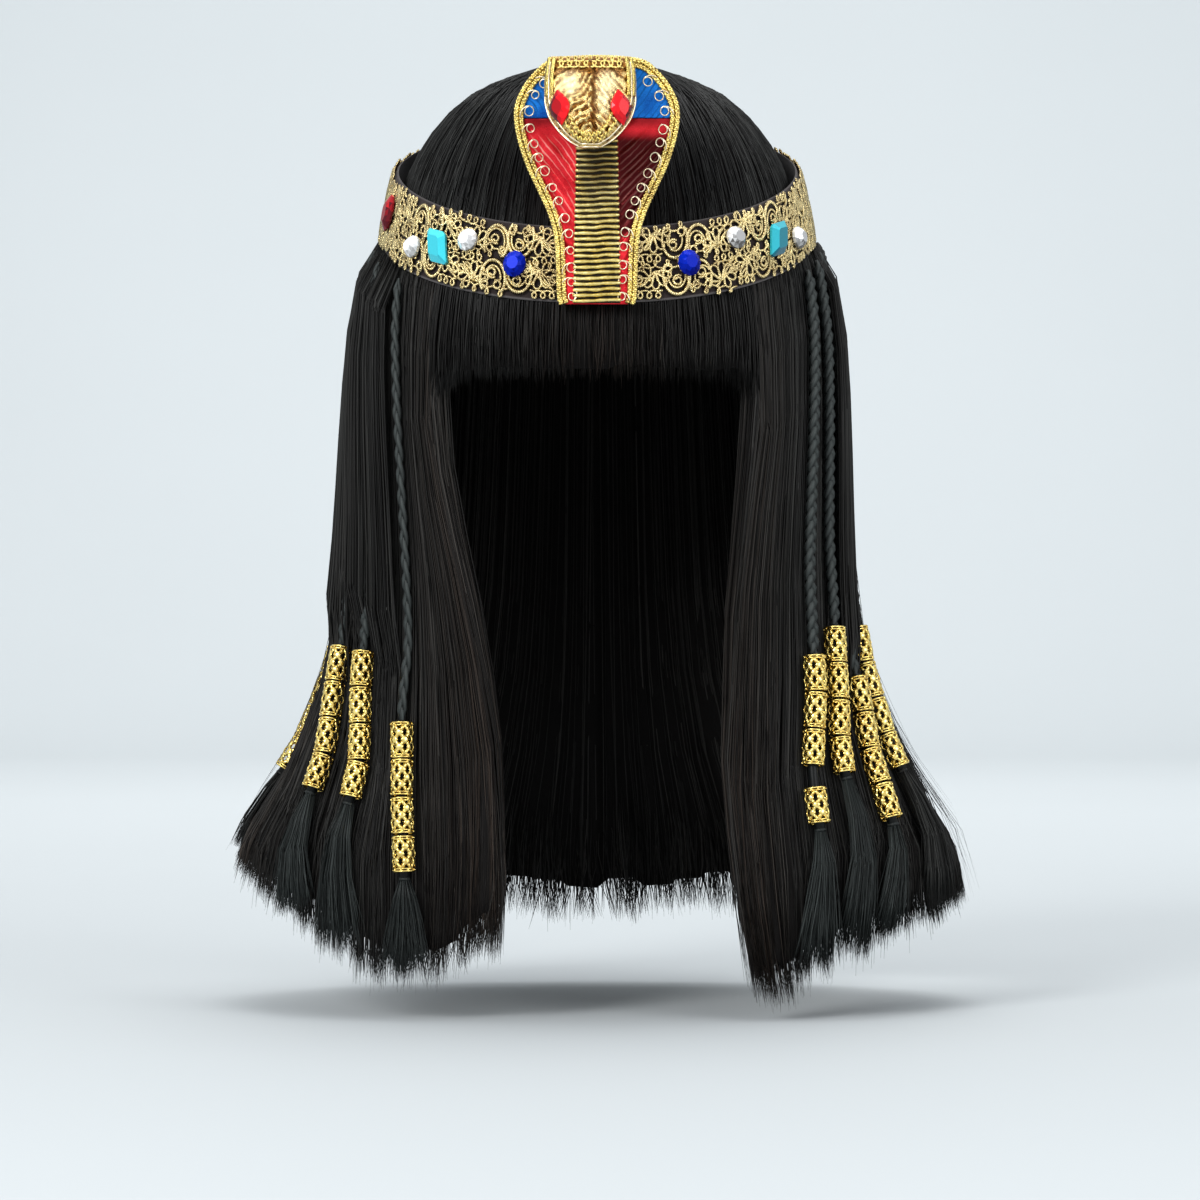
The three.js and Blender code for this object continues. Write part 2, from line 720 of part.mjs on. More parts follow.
// Section of a braid: plaited above the beads, plain inside them and spread flat in the tuft
function braidRing(curve, row, share, i, start, end) {
  const centre = curve.getPointAt(share);
  const along = curve.getTangentAt(share);
  const angle = angleOf(centre);
  const out = hairFrame(angle, centre.z).out;
  const across = new THREE.Vector3().crossVectors(along, out).normalize();
  const lift = new THREE.Vector3().crossVectors(across, along).normalize();
  const inTuft = ramp(end, 1, share);
  const plaited = share < start ? braid.plait * (i % 2 ? 1 : -1) : 0;
  const half = mix(braid.radius, braid.tuftSpread * row.spread, inTuft);
  const thick = mix(braid.radius, braid.tuftThickness, inTuft);
  return Array.from({ length: braid.sides }, (_, k) => {
    const turn = (2 * Math.PI * k) / braid.sides;
    return centre
      .clone()
      .addScaledVector(across, plaited + half * Math.cos(turn))
      .addScaledVector(lift, thick * Math.sin(turn));
  });
}

// Angle from the brow of a point near the hair
function angleOf(point) {
  const side = between(hairSections, "z", "side", point.z);
  const depth = between(hairSections, "z", point.y < 0 ? "front" : "back", point.z);
  const power = (v) => Math.sign(v) * Math.abs(v) ** (hair.squareness / 2);
  return THREE.MathUtils.radToDeg(Math.atan2(power(point.x / side), power(-point.y / depth)));
}

function beadShell() {
  const half = bead.length / 2;
  const profile = [
    new THREE.Vector2(bead.bore, -half),
    new THREE.Vector2(bead.radius, -half),
    new THREE.Vector2(bead.radius, half),
    new THREE.Vector2(bead.bore, half),
    new THREE.Vector2(bead.bore, -half),
  ];
  let shell = solid(new THREE.LatheGeometry(profile, bead.sides));
  const [w, h] = [bead.windowWidth / 2, bead.windowHeight / 2];
  const corners = [[w, 0], [0, h], [-w, 0], [0, -h]];
  const diamond = new THREE.Shape(corners.map(([x, y]) => new THREE.Vector2(x, y)));
  for (const facet of bead.windowFacets) {
    const cutter = new THREE.ExtrudeGeometry(diamond, { depth: bead.radius, bevelEnabled: false });
    cutter.translate(0, 0, bead.bore / 2).rotateY((2 * Math.PI * (facet + 0.5)) / bead.sides);
    shell = shell.subtract(solid(cutter));
  }
  return geometryOf(shell);
}
const beadGeometry = beadShell();

function beadPiece(name, curve, from, to, n) {
  const [top, foot] = [curve.getPointAt(from), curve.getPointAt(to)];
  const mesh = piece(name, beadGeometry, finishes.gold);
  mesh.position.copy(top).add(foot).multiplyScalar(0.5);
  const axis = new THREE.Vector3().subVectors(top, foot).normalize();
  mesh.quaternion.setFromUnitVectors(new THREE.Vector3(0, 1, 0), axis);
  mesh.rotateY(n * bead.turn);
  return mesh;
}

// The whole wig
const wig = new THREE.Group();
wig.name = "bob_wig_with_snake_headpiece";
wig.add(
  piece("wig_hair", wigHair(), finishes.hair),
  piece("headband", ribbon(), finishes.ribbon),
  piece("lace_trim", laceTrim(), finishes.gold),
  stonePieces(),
  cobra(),
  ...braids.left.map((row, i) => braidGroup(row, -1, `left_${i + 1}`)),
  ...braids.right.map((row, i) => braidGroup(row, 1, `right_${i + 1}`)),
);

export default wig;
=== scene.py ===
import bpy
import bmesh
import numpy as np
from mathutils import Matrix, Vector


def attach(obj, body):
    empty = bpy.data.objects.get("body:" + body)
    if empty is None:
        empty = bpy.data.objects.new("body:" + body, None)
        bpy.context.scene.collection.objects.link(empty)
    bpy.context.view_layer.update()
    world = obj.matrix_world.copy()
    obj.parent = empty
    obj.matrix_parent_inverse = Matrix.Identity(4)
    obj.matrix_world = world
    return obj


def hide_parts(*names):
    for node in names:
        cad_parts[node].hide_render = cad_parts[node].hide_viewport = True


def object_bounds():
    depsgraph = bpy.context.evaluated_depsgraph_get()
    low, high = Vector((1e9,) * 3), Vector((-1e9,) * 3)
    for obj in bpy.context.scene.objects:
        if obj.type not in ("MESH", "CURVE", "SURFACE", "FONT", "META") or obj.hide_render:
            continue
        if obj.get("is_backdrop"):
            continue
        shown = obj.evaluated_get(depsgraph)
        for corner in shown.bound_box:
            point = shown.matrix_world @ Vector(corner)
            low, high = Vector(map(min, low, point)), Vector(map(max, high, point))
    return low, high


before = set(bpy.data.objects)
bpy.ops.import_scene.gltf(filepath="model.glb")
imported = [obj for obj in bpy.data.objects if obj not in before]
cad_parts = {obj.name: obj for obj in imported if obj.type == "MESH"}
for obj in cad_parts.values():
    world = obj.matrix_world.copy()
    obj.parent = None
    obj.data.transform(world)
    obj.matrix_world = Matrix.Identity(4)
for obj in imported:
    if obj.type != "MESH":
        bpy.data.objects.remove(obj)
cadBox = [list(corner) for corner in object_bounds()]
print("frame loaded,", len(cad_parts), "nodes")

mm = 0.001
dice = np.random.default_rng(11)
bothSides = ((-1, "Left"), (1, "Right"))
toFront = np.array([0, -1.0, 0])


# shader tools

class Wire:  # a socket that takes part in arithmetic
    def __init__(self, look, socket):
        self.look, self.socket = look, socket

    def math(self, operation, *values):
        return self.look.node("ShaderNodeMath", {"operation": operation}, dict(enumerate(values)))

    def sine(self):
        return self.math("SINE", self)

    def __add__(self, other):
        return self.math("ADD", self, other)

    def __radd__(self, other):
        return self.math("ADD", other, self)

    def __sub__(self, other):
        return self.math("SUBTRACT", self, other)

    def __rsub__(self, other):
        return self.math("SUBTRACT", other, self)

    def __mul__(self, other):
        return self.math("MULTIPLY", self, other)

    def __rmul__(self, other):
        return self.math("MULTIPLY", other, self)


class Look:  # one procedural material
    def __init__(self, name, **fixed):
        self.material = bpy.data.materials.new(name)
        self.material.use_nodes = True
        self.tree = self.material.node_tree
        self.surface = self.tree.nodes["Principled BSDF"]
        self.set(**fixed)

    def feed(self, socket, value):
        if isinstance(value, Wire):
            self.tree.links.new(value.socket, socket)
        else:  # a tuple is a colour
            socket.default_value = (*value, 1.0) if isinstance(value, tuple) else value

    def set(self, **sockets):
        for name, value in sockets.items():
            self.feed(self.surface.inputs[name.replace("_", " ")], value)

    def node(self, kind, settings=None, sockets=None, out=0):
        made = self.tree.nodes.new(kind)
        for name, value in (settings or {}).items():
            setattr(made, name, value)
        for name, value in (sockets or {}).items():
            self.feed(made.inputs[name], value)
        return Wire(self, made.outputs[out])

    def mark(self, name, out="Fac"):
        return self.node("ShaderNodeAttribute", {"attribute_name": name}, out=out)

    def noise(self, scale, detail=2.0, roughness=0.5, vector=None):
        sockets = {"Scale": scale, "Detail": detail, "Roughness": roughness}
        sockets["Vector"] = vector or self.node("ShaderNodeTexCoord", out="Object")
        return self.node("ShaderNodeTexNoise", {}, sockets)

    def blend(self, share, first, second):
        return self.node("ShaderNodeMix", {"data_type": "RGBA"}, {0: share, 6: first, 7: second}, out=2)

    def sharpen(self, value, low, high):
        sockets = {"Value": value, "From Min": low, "From Max": high}
        return self.node("ShaderNodeMapRange", {"clamp": True}, sockets)

    def bump(self, height, distance, strength):
        return self.node("ShaderNodeBump", {}, {"Height": height, "Distance": distance, "Strength": strength})


# finishes

brownHair = {"dark": (0.006, 0.0038, 0.003), "light": (0.062, 0.043, 0.032)}


def hairLook(name, dark, light):
    look = Look(name, IOR=1.5, Specular_IOR_Level=0.13)
    shade = look.mark("shade")
    brown = look.blend(shade, brownHair["dark"], brownHair["light"])
    look.set(Base_Color=look.blend(look.mark("warm"), look.blend(shade, dark, light), brown))
    look.set(Roughness=0.34 + 0.2 * shade)
    return look


def hairMassLook(name, dark, light):  # the mass of hair under the loose strands, combed along the mark flow
    look = Look(name, Specular_IOR_Level=0.06)
    combed = look.noise(1.0, 4.0, 0.6, look.mark("flow", "Vector"))
    look.set(Base_Color=look.blend(combed, dark, light))
    look.set(Roughness=0.45 + 0.2 * combed, Normal=look.bump(combed, 0.6 * mm, 0.7))
    return look


def goldLook(name, deep, bright, roughness, grain, wound=0.0):
    look = Look(name, Metallic=1.0)
    spots = look.noise(grain, 3.0)
    height, share = spots, 0.6 * spots + 0.4 * look.noise(grain * 0.12)
    if wound:  # wire wound round a core: the bump follows the turns, and the colour is lighter on each turn and darker between them as painted highlight and painted shade
        turns = (look.mark("along") * wound).sine()
        height, share = spots * 0.5 + turns * 0.5, share + 0.1 * turns
    share = look.sharpen(share - 0.22 * look.mark("dim"), 0.25, 0.58)  # dim: painted shade down the sides and underside of a cord, and over the rim's core
    look.set(Base_Color=look.blend(share, deep, bright), Roughness=roughness + 0.2 * spots)
    look.set(Normal=look.bump(height, 0.25 * mm, 0.6))
    return look


def lameLook(name, deep, bright, dim, metallic, grain, foldLightShadeColour=(1.0, 0.5, 0.42)):
    look = Look(name, Metallic=metallic, Specular_IOR_Level=0.1)
    fine, cloudy = look.noise(grain), look.noise(90.0, 3.0)
    share = look.sharpen(0.35 * fine + 0.65 * cloudy, 0.32, 0.62)
    # painted shade: where the dim mark is high the colour goes to the dim colour (the head's painted shadow
    # on the upper rungs, the red panel's darker right side and top strip)
    lit = look.blend(look.mark("dim"), look.blend(share, deep, bright), dim)
    # fold lines painted in the foldLightShadeColour: painted highlights on the red cloth, painted shade on
    # the blue
    waves = (look.mark("slant") * 2.0 + cloudy * 9.0).sine()
    foldLightShadeLines = look.sharpen(waves + 2.2 * cloudy, 1.65, 2.4) * look.mark("foldLightShade")
    look.set(Base_Color=look.blend(foldLightShadeLines, lit, foldLightShadeColour), Roughness=0.26 + 0.22 * fine)
    look.set(Normal=look.bump(fine, 0.12 * mm, 0.5))
    return look


def sequinLook(name, deep, bright, smooth):
    look = Look(name, Metallic=1.0)
    tilt = look.node("ShaderNodeTexVoronoi", {"feature": "F1"}, {"Scale": 600.0}, out="Color")
    grey = look.node("ShaderNodeSeparateColor", {}, {0: tilt})
    crush, smoothPaintedHighlight = look.noise(300.0, 3.0, 0.6), look.mark("smoothPaintedHighlight")
    # painted shade: darker in the dents and beside the ridge, and darker across the top rows
    share = look.sharpen(0.6 * crush + 0.2 * grey - 0.5 * look.mark("paintedShadeAndTopBand"), 0.14, 0.42)
    # painted highlight: smoothPaintedHighlight blends towards the pale smooth colour
    look.set(Base_Color=look.blend(smoothPaintedHighlight * 0.6, look.blend(share, deep, bright), smooth))
    look.set(Roughness=0.12 + 0.14 * grey + 0.15 * smoothPaintedHighlight, Normal=look.bump(crush + 0.15 * grey, 0.5 * mm, 0.4))
    return look


def glassLook(name, deep, bright, metallic, shine=0.4):
    look = Look(name, Metallic=metallic, Roughness=0.14, Specular_IOR_Level=shine, IOR=1.55)
    # painted light and painted reflection: each facet's colour is set by paintedFacetLight
    look.set(Base_Color=look.blend(look.mark("paintedFacetLight"), deep, bright))
    return look


def ribbonLook(name, dark, light, edge):
    look = Look(name, Specular_IOR_Level=0.2, Sheen_Weight=0.1)
    ribs, worn = (look.mark("along") * 7.0).sine(), look.noise(240.0, 3.0)
    look.set(Base_Color=look.blend(look.mark("edge") * 0.8, look.blend(worn, dark, light), edge))
    look.set(Roughness=0.62 + 0.25 * worn, Normal=look.bump(ribs * 0.5 + worn, 0.15 * mm, 0.5))
    return look


finishes = {
    "hair": hairLook("blackHair", (0.0032, 0.0031, 0.003), (0.038, 0.039, 0.037)),
    "plait": hairLook("blueBlackHair", (0.0046, 0.0053, 0.0052), (0.05, 0.058, 0.056)),
    "hairMass": hairMassLook("blackHairMass", (0.0018, 0.0016, 0.0015), (0.009, 0.008, 0.0076)),
    "bead": goldLook("pressedGold", (0.55, 0.3, 0.04), (1.0, 0.8, 0.27), 0.13, 900.0),
    "lace": goldLook("gimpGold", (0.13, 0.065, 0.02), (1.0, 0.83, 0.42), 0.17, 1500.0, 9.0),
    "braidGold": goldLook("braidedGold", (0.2, 0.1, 0.02), (1.0, 0.8, 0.26), 0.2, 1300.0, 8.0),
    "wire": goldLook("fineWire", (0.75, 0.55, 0.3), (1.0, 0.9, 0.68), 0.2, 700.0),
    "sequin": sequinLook("crushedGold", (0.2, 0.08, 0.014), (0.82, 0.62, 0.26), (0.9, 0.79, 0.52)),
    # lame finishes: deep, bright, then the colour of painted shade
    "rungGold": lameLook("ribGold", (0.6, 0.43, 0.08), (1.0, 0.87, 0.4), (0.15, 0.1, 0.03), 1.0, 800.0),
    "red": lameLook("redLame", (0.4, 0.008, 0.014), (0.85, 0.03, 0.042), (0.06, 0.003, 0.004), 0.5, 2600.0),
    # the blue's last colour paints shade into its fold lines; the red keeps the default pale painted fold
    # highlight
    "blue": lameLook("blueSatin", (0.003, 0.05, 0.3), (0.014, 0.22, 0.76), (0.002, 0.03, 0.2), 0.35, 2600.0,
                     (0.001, 0.014, 0.07)),
    "backing": lameLook("blackBacking", (0.004, 0.003, 0.002), (0.025, 0.017, 0.008), (0.01, 0.01, 0.01), 0.0,
                        2000.0),
    "ribbon": ribbonLook("darkRibbon", (0.008, 0.0045, 0.004), (0.025, 0.015, 0.013), (0.1, 0.09, 0.088)),
    "blueGlass": glassLook("blueGlass", (0.001, 0.003, 0.12), (0.002, 0.018, 0.42), 0.1, 0.03),
    "clearGlass": glassLook("clearGlass", (0.1, 0.095, 0.09), (1.0, 1.0, 1.0), 0.35),
    "turquoiseGlass": glassLook("turquoiseGlass", (0.0, 0.1, 0.15), (0.05, 0.68, 0.8), 0.3),
    "redGlass": glassLook("redGlass", (0.08, 0.001, 0.006), (0.85, 0.01, 0.016), 0.2, 0.2),
}
print("finishes made")


# mesh tools

def unit(v):
    return v / np.maximum(np.linalg.norm(v, axis=-1, keepdims=True), 1e-9)


def fullTurn(count):
    return 2 * np.pi * np.arange(count) / count


def ease(low, high, x):
    t = np.clip((x - low) / (high - low), 0, 1)
    return t * t * (3 - 2 * t)


def hump(x, middle, width):
    return np.exp(-((x - middle) / width) ** 2)


def runAlong(points):  # length along a line up to each of its points
    return np.concatenate([[0], np.cumsum(np.linalg.norm(np.diff(points, axis=0), axis=1))])


def resample(points, spacing):
    length = runAlong(points)
    at = np.linspace(0, length[-1], max(int(length[-1] / spacing), 4))
    return np.stack([np.interp(at, length, points[:, k]) for k in range(3)], -1), at


def mended(mesh, weld=False):  # welds corners that meet, or turns all faces outwards
    work = bmesh.new()
    work.from_mesh(mesh)
    if weld:
        bmesh.ops.remove_doubles(work, verts=work.verts, dist=1e-6)
    else:
        bmesh.ops.recalc_face_normals(work, faces=work.faces)
    work.to_mesh(mesh)
    work.free()


def linkedObject(name, data):
    obj = bpy.data.objects.new(name, data)
    bpy.context.scene.collection.objects.link(obj)
    return obj


class Heap:  # gathers loose bits of geometry, in millimetres, into one mesh
    def __init__(self):
        self.points, self.quads, self.tris, self.marks, self.count = [], [], [], {}, 0

    def add(self, shape, **marks):
        points, quads, tris = shape
        points = np.asarray(points, float).reshape(-1, 3)
        self.points.append(points)
        self.quads.append(np.asarray(quads, int).reshape(-1, 4) + self.count)
        self.tris.append(np.asarray(tris, int).reshape(-1, 3) + self.count)
        for name, value in marks.items():
            value = np.asarray(value, float)
            wanted = (len(points), 3) if value.ndim == 2 else (len(points),)
            self.marks.setdefault(name, []).append(np.broadcast_to(value, wanted))
        self.count += len(points)
        return self

    def shape(self):
        return np.concatenate(self.points), np.concatenate(self.quads), np.concatenate(self.tris)

    def piece(self, name, finish, slot, nodes=(), smooth=True, turnOut=False):
        mesh = bpy.data.meshes.new(name)
        points, quads, tris = self.shape()
        corners = np.concatenate([quads.ravel(), tris.ravel()])
        starts = np.concatenate([4 * np.arange(len(quads)), 4 * len(quads) + 3 * np.arange(len(tris))])
        mesh.vertices.add(len(points))
        mesh.vertices.foreach_set("co", (points * mm).ravel())
        mesh.loops.add(len(corners))
        mesh.polygons.add(len(starts))
        mesh.polygons.foreach_set("loop_start", starts)
        mesh.loops.foreach_set("vertex_index", corners)
        for mark, parts in self.marks.items():
            values = np.concatenate(parts)
            kind, field = ("FLOAT_VECTOR", "vector") if values.ndim == 2 else ("FLOAT", "value")
            mesh.attributes.new(mark, kind, "POINT").data.foreach_set(field, values.ravel())
        mesh.update(calc_edges=True)
        mesh.validate()
        if turnOut:
            mended(mesh)
        mesh.polygons.foreach_set("use_smooth", np.full(len(mesh.polygons), smooth))
        mesh.materials.append(finishes[finish].material)
        obj = linkedObject(name, mesh)
        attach(obj, "root")
        if nodes:
            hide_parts(*nodes)
        print(" ", name, len(quads) * 2 + len(tris), "triangles")
        return obj


def tubes(paths, radius, out, sides=3, closed=False, flat=1.0):  # closed skins along paths of equal length
    paths = np.asarray(paths, float)
    if paths.ndim == 2:
        paths = paths[None]
    many, steps = paths.shape[:2]
    along = unit(np.roll(paths, -1, 1) - np.roll(paths, 1, 1)) if closed else unit(np.gradient(paths, axis=1))
    lift = unit(out - (out * along).sum(-1, keepdims=True) * along)
    across = np.cross(along, lift)
    turn = fullTurn(sides)[:, None]
    ring = flat * np.cos(turn) * lift[:, :, None] + np.sin(turn) * across[:, :, None]
    size = np.asarray(radius, float)
    size = size[..., None, None] if size.ndim < 3 else size[..., None]
    points = paths[:, :, None] + size * ring
    index = np.arange(many * steps * sides).reshape(many, steps, sides)
    beside = np.roll(index, -1, 2)
    if closed:
        return points, np.stack([index, beside, np.roll(beside, -1, 1), np.roll(index, -1, 1)], -1), ()
    quads = np.stack([index[:, :-1], beside[:, :-1], beside[:, 1:], index[:, 1:]], -1)
    fan = range(1, sides - 1)
    caps = [np.stack([index[:, 0, 0], index[:, 0, k + 1], index[:, 0, k]], -1) for k in fan]
    caps += [np.stack([index[:, -1, 0], index[:, -1, k], index[:, -1, k + 1]], -1) for k in fan]
    return points, quads, np.concatenate(caps)


def sheetQuads(index):
    return np.stack([index[:-1, :-1], index[:-1, 1:], index[1:, 1:], index[1:, :-1]], -1).reshape(-1, 4)


def slab(front, back):  # closed slab between two grids of points
    rows, columns = front.shape[:2]
    top = np.arange(rows * columns).reshape(rows, columns)
    under = top + rows * columns
    loop = np.concatenate([top[0, :-1], top[:-1, -1], top[-1, :0:-1], top[:0:-1, 0]])
    follow = np.roll(loop, -1)
    rim = np.stack([loop, loop + rows * columns, follow + rows * columns, follow], -1)
    points = np.concatenate([front.reshape(-1, 3), back.reshape(-1, 3)])
    return points, np.concatenate([sheetQuads(top), sheetQuads(under)[:, ::-1], rim]), ()


def loft(rings):  # closed skin over rings, with a fan at each end
    rings = np.asarray(rings, float)
    rows, columns = rings.shape[:2]
    index = np.arange(rows * columns).reshape(rows, columns)
    beside = np.roll(index, -1, 1)
    quads = np.stack([index[:-1], beside[:-1], beside[1:], index[1:]], -1).reshape(-1, 4)
    ends = rows * columns
    tris = [np.stack([np.full(columns, ends), beside[0], index[0]], -1)]
    tris.append(np.stack([np.full(columns, ends + 1), index[-1], beside[-1]], -1))
    points = np.concatenate([rings.reshape(-1, 3), [rings[0].mean(0), rings[-1].mean(0)]])
    return points, quads, np.concatenate(tris)


def smoothTable(keys, values):  # curve through a table's rows that never overshoots them
    keys, values = np.array(keys, float), np.array(values, float)
    if keys[0] > keys[-1]:
        keys, values = keys[::-1], values[::-1]
    steps = np.diff(values) / np.diff(keys)
    product = steps[:-1] * steps[1:]
    total = np.where(product > 0, steps[:-1] + steps[1:], 1)
    slopes = np.concatenate([[steps[0]], np.where(product > 0, 2 * product / total, 0), [steps[-1]]])

    def at(x):
        x = np.clip(x, keys[0], keys[-1])
        i = np.clip(np.searchsorted(keys, x, side="right") - 1, 0, len(keys) - 2)
        span = keys[i + 1] - keys[i]
        t = (x - keys[i]) / span
        rise = (1 + 2 * t) * (1 - t) ** 2 * values[i] + t * (1 - t) ** 2 * span * slopes[i]
        return rise + t * t * (3 - 2 * t) * values[i + 1] - t * t * (1 - t) * span * slopes[i + 1]
    return at


def tableCurves(rows):  # a table, and a curve for each column after the first
    table = np.array(rows, float)
    return table, [smoothTable(table[:, 0], column) for column in table.T[1:]]


# form of the hair, in millimetres as in the solids

hairForm = {
    "crown": 10.0,
    "squareness": 2.2,
    "rows": [  # height, half width, depth to the front, depth to the back
        (7.5, 22.5, 25, 26.5), (-4, 50, 57, 60), (-17, 64.4, 74, 77), (-34, 75.5, 88, 91), (-50, 82, 97, 100),
        (-66, 87, 102.5, 105.5), (-90, 92.5, 107.5, 109), (-106, 95, 109.3, 110), (-124, 96.5, 110, 110),
        (-190, 101, 104, 102), (-226, 105.5, 97, 96.5), (-248, 112.5, 95, 95), (-272, 122, 93, 95),
        (-296, 138, 93, 97), (-313, 147, 93, 98), (-370, 156, 93, 100),
    ],
    "ends": [  # angle from the front, height of the cut ends to the left and to the right
        (0, -346, -346), (14, -346, -346), (19, -354, -352), (24, -359, -368), (30, -359, -358),
        (41, -348, -349), (56, -330, -338), (75, -319, -332), (90, -315, -330), (120, -322, -332),
        (150, -338, -340), (180, -345, -345),
    ],
    "opening": [  # height, reach to the left and to the right
        (-390, 43, 70), (-345, 41, 61), (-316, 39, 57), (-287, 39.5, 54), (-260, 41.5, 54),
        (-236, 45.5, 54.5), (-214, 50, 55.5), (-198, 53.5, 57), (-180, 58, 59), (-160, 62, 61),
        (-142, 65, 64),
    ],
    "fringeEdge": -124.0,
}
hairTable, (sideAt, frontAt, backAt) = tableCurves(hairForm["rows"])
leftEnd, rightEnd = tableCurves(hairForm["ends"])[1]


def hairPoint(angle, z):
    angle, z = np.broadcast_arrays(np.radians(np.asarray(angle, float)), np.asarray(z, float))
    top = hairTable[0, 0]
    cap = np.where(z > top, np.sqrt(np.clip((hairForm["crown"] - z) / (hairForm["crown"] - top), 0, 1)), 1)
    power = 2 / hairForm["squareness"]
    s, c = np.sin(angle), np.cos(angle)
    depth = np.where(c > 0, frontAt(z), backAt(z))
    x = sideAt(z) * cap * np.sign(s) * np.abs(s) ** power
    return np.stack([x, -depth * cap * np.sign(c) * np.abs(c) ** power, z], -1)


def hairFrame(angle, z, step=0.5):
    around = unit(hairPoint(angle + step, z) - hairPoint(angle - step, z))
    up = unit(hairPoint(angle, z + step) - hairPoint(angle, z - step))
    return unit(np.cross(around, up)), up, around


def overHair(angle, z, height):
    return hairPoint(angle, z) + hairFrame(angle, z)[0] * np.asarray(height, float)[..., None]


def hairEnd(angle):
    turn = (angle + 540) % 360 - 180
    return np.where(turn < 0, leftEnd(np.abs(turn)), rightEnd(np.abs(turn)))


# headband's place on the hair
bandForm = {"frontZ": -81.0, "rise": 79.5, "riseFade": 19.5, "width": 30.0, "height": 0.8, "thickness": 1.0,
            "flare": 4.0, "press": 17.0}


def bandZ(angle):
    back = np.sin(np.radians(angle) / 2) ** 2
    return bandForm["frontZ"] + bandForm["rise"] * back - bandForm["riseFade"] * back * back


def bandSlope(angle):  # how much of a step up the ribbon goes into height
    return hairFrame(angle, bandZ(angle))[1][..., 2]


def bandLean(angle):  # how steeply the ribbon stands off the hair at the sides
    return bandForm["flare"] * np.sin(np.radians(angle)) ** 2 / bandForm["width"]


def onBand(angle, rise, height):
    z = bandZ(angle) + rise * bandSlope(angle)
    return overHair(angle, z, height + bandLean(angle) * (rise + bandForm["width"] / 2))


def underBand(angle, z):  # 1 where the ribbon presses on the hair, 0 well away from it
    return np.exp(-((z - bandZ(angle)) / bandForm["press"]) ** 4)


# where the braids lie: angle at the ribbon, at the first bead, at the last and at the tip, then the height
# of the first bead, the tuft's spread and the drop of the last bead
braidForm = {
    "Left": [(54, 37.5, 27.6, 26.5, -258, 1, 0), (69, 54.5, 43, 39, -230.5, 1, 0),
             (80, 65.5, 54.5, 50, -229, 1, 0), (102, 106, 103, 101, -227, 1, 0)],
    "Right": [(62, 48.3, 35.3, 31.5, -232, 0.9, 8), (71, 58, 46.5, 39, -221, 0.7, 0),
              (79, 63, 52.5, 46, -241, 0.7, 0), (89, 71.5, 67, 62, -221, 1, 0)],
    "radius": 2.9, "clearance": 0.6, "belowBand": 4.0, "liftLength": 40.0, "swing": 0.25, "aboveEnds": 3.0,
    "tuftThickness": 2.4, "beadRadius": 4.4, "beadPitch": 14.9, "beads": 4,
}


def braidWay(row, side):  # height, angle and distance off the hair along one braid
    atBand, atFirst, atLast, atTip, firstZ, _, drop = row
    form = braidForm
    top = bandZ(atBand) - bandForm["width"] / 2 * bandSlope(atBand) - form["belowBand"]
    close = form["radius"] + form["clearance"]
    loose = form["beadRadius"] + form["clearance"]
    return np.array([
        (top, atBand, close),
        (firstZ + form["liftLength"], atFirst + (atBand - atFirst) * form["swing"], close),
        (firstZ, atFirst, loose),
        (firstZ - form["beads"] * form["beadPitch"] - drop, atLast, loose),
        (hairEnd(side * atTip) + form["aboveEnds"], atTip, form["tuftThickness"] + 2 * form["clearance"]),
    ])


# how the hair falls: angle at each height for strands that start at a given angle
def edgeColumn(side):
    rows = np.array(hairForm["opening"], float)
    reach = rows[:, 1 if side < 0 else 2]
    angles = np.degrees(np.arcsin((reach / sideAt(rows[:, 0])) ** (hairForm["squareness"] / 2)))
    return angles[-1], smoothTable(rows[:, 0], angles)


def still(angle):
    return angle, lambda z: np.full(np.shape(z), float(angle))


def braidColumn(row, side):
    return row[0], tableCurves(braidWay(row, side))[1][0]


behind = {"Left": [still(140), still(180)],
          "Right": [(112, smoothTable([-124, -250, -330], [112, 104, 98])), still(150), still(180)]}
flow = {}
for side, name in bothSides:
    overBraids = [braidColumn(row, side) for row in braidForm[name]]
    flow[side] = [still(0), edgeColumn(side), *overBraids, *behind[name]]
edges = {side: columns[1][0] for side, columns in flow.items()}


def flowAngle(start, z):
    angle = np.empty(np.shape(z))
    for side, columns in flow.items():
        mine = (start < 0) == (side < 0)
        keys = np.array([key for key, _ in columns])
        grid = np.stack([column(z[mine]) for _, column in columns])
        begin = np.abs(start[mine])
        i = np.clip(np.searchsorted(keys, begin, side="right") - 1, 0, len(keys) - 2)
        share = ((begin - keys[i]) / (keys[i + 1] - keys[i]))[:, None]
        row = np.arange(len(begin))
        angle[mine] = side * (grid[i, row] * (1 - share) + grid[i + 1, row] * share)
    return angle


def flowAt(start, z):  # the same at one height
    return flowAngle(start, np.full((len(start), 1), z))[:, 0]


# mass of the hair: one hollow shell, combed, open at the front and below

massForm = {"sideColumns": 112, "frontColumns": 36, "capRows": 28, "curtainRows": 30, "relief": 0.5,
            "sunk": 0.5, "ridges": (23, 41, 67, 97, 131), "wall": 9.0, "tipWall": 2.5, "shortOfEnds": 13.0,
            "fringeShort": 4.0, "endJag": 3.0, "pressed": 0.8}


def combing(angle, z):  # ridges that follow the strands
    ridges = np.zeros(np.broadcast(angle, z).shape)
    for cycles in massForm["ridges"]:
        phase, drift = dice.uniform(0, 2 * np.pi, 2)
        ridges = ridges + np.sin(np.radians(angle) * cycles + phase + 1.4 * np.sin(z / 60 + drift)) / 2.4
    return ridges


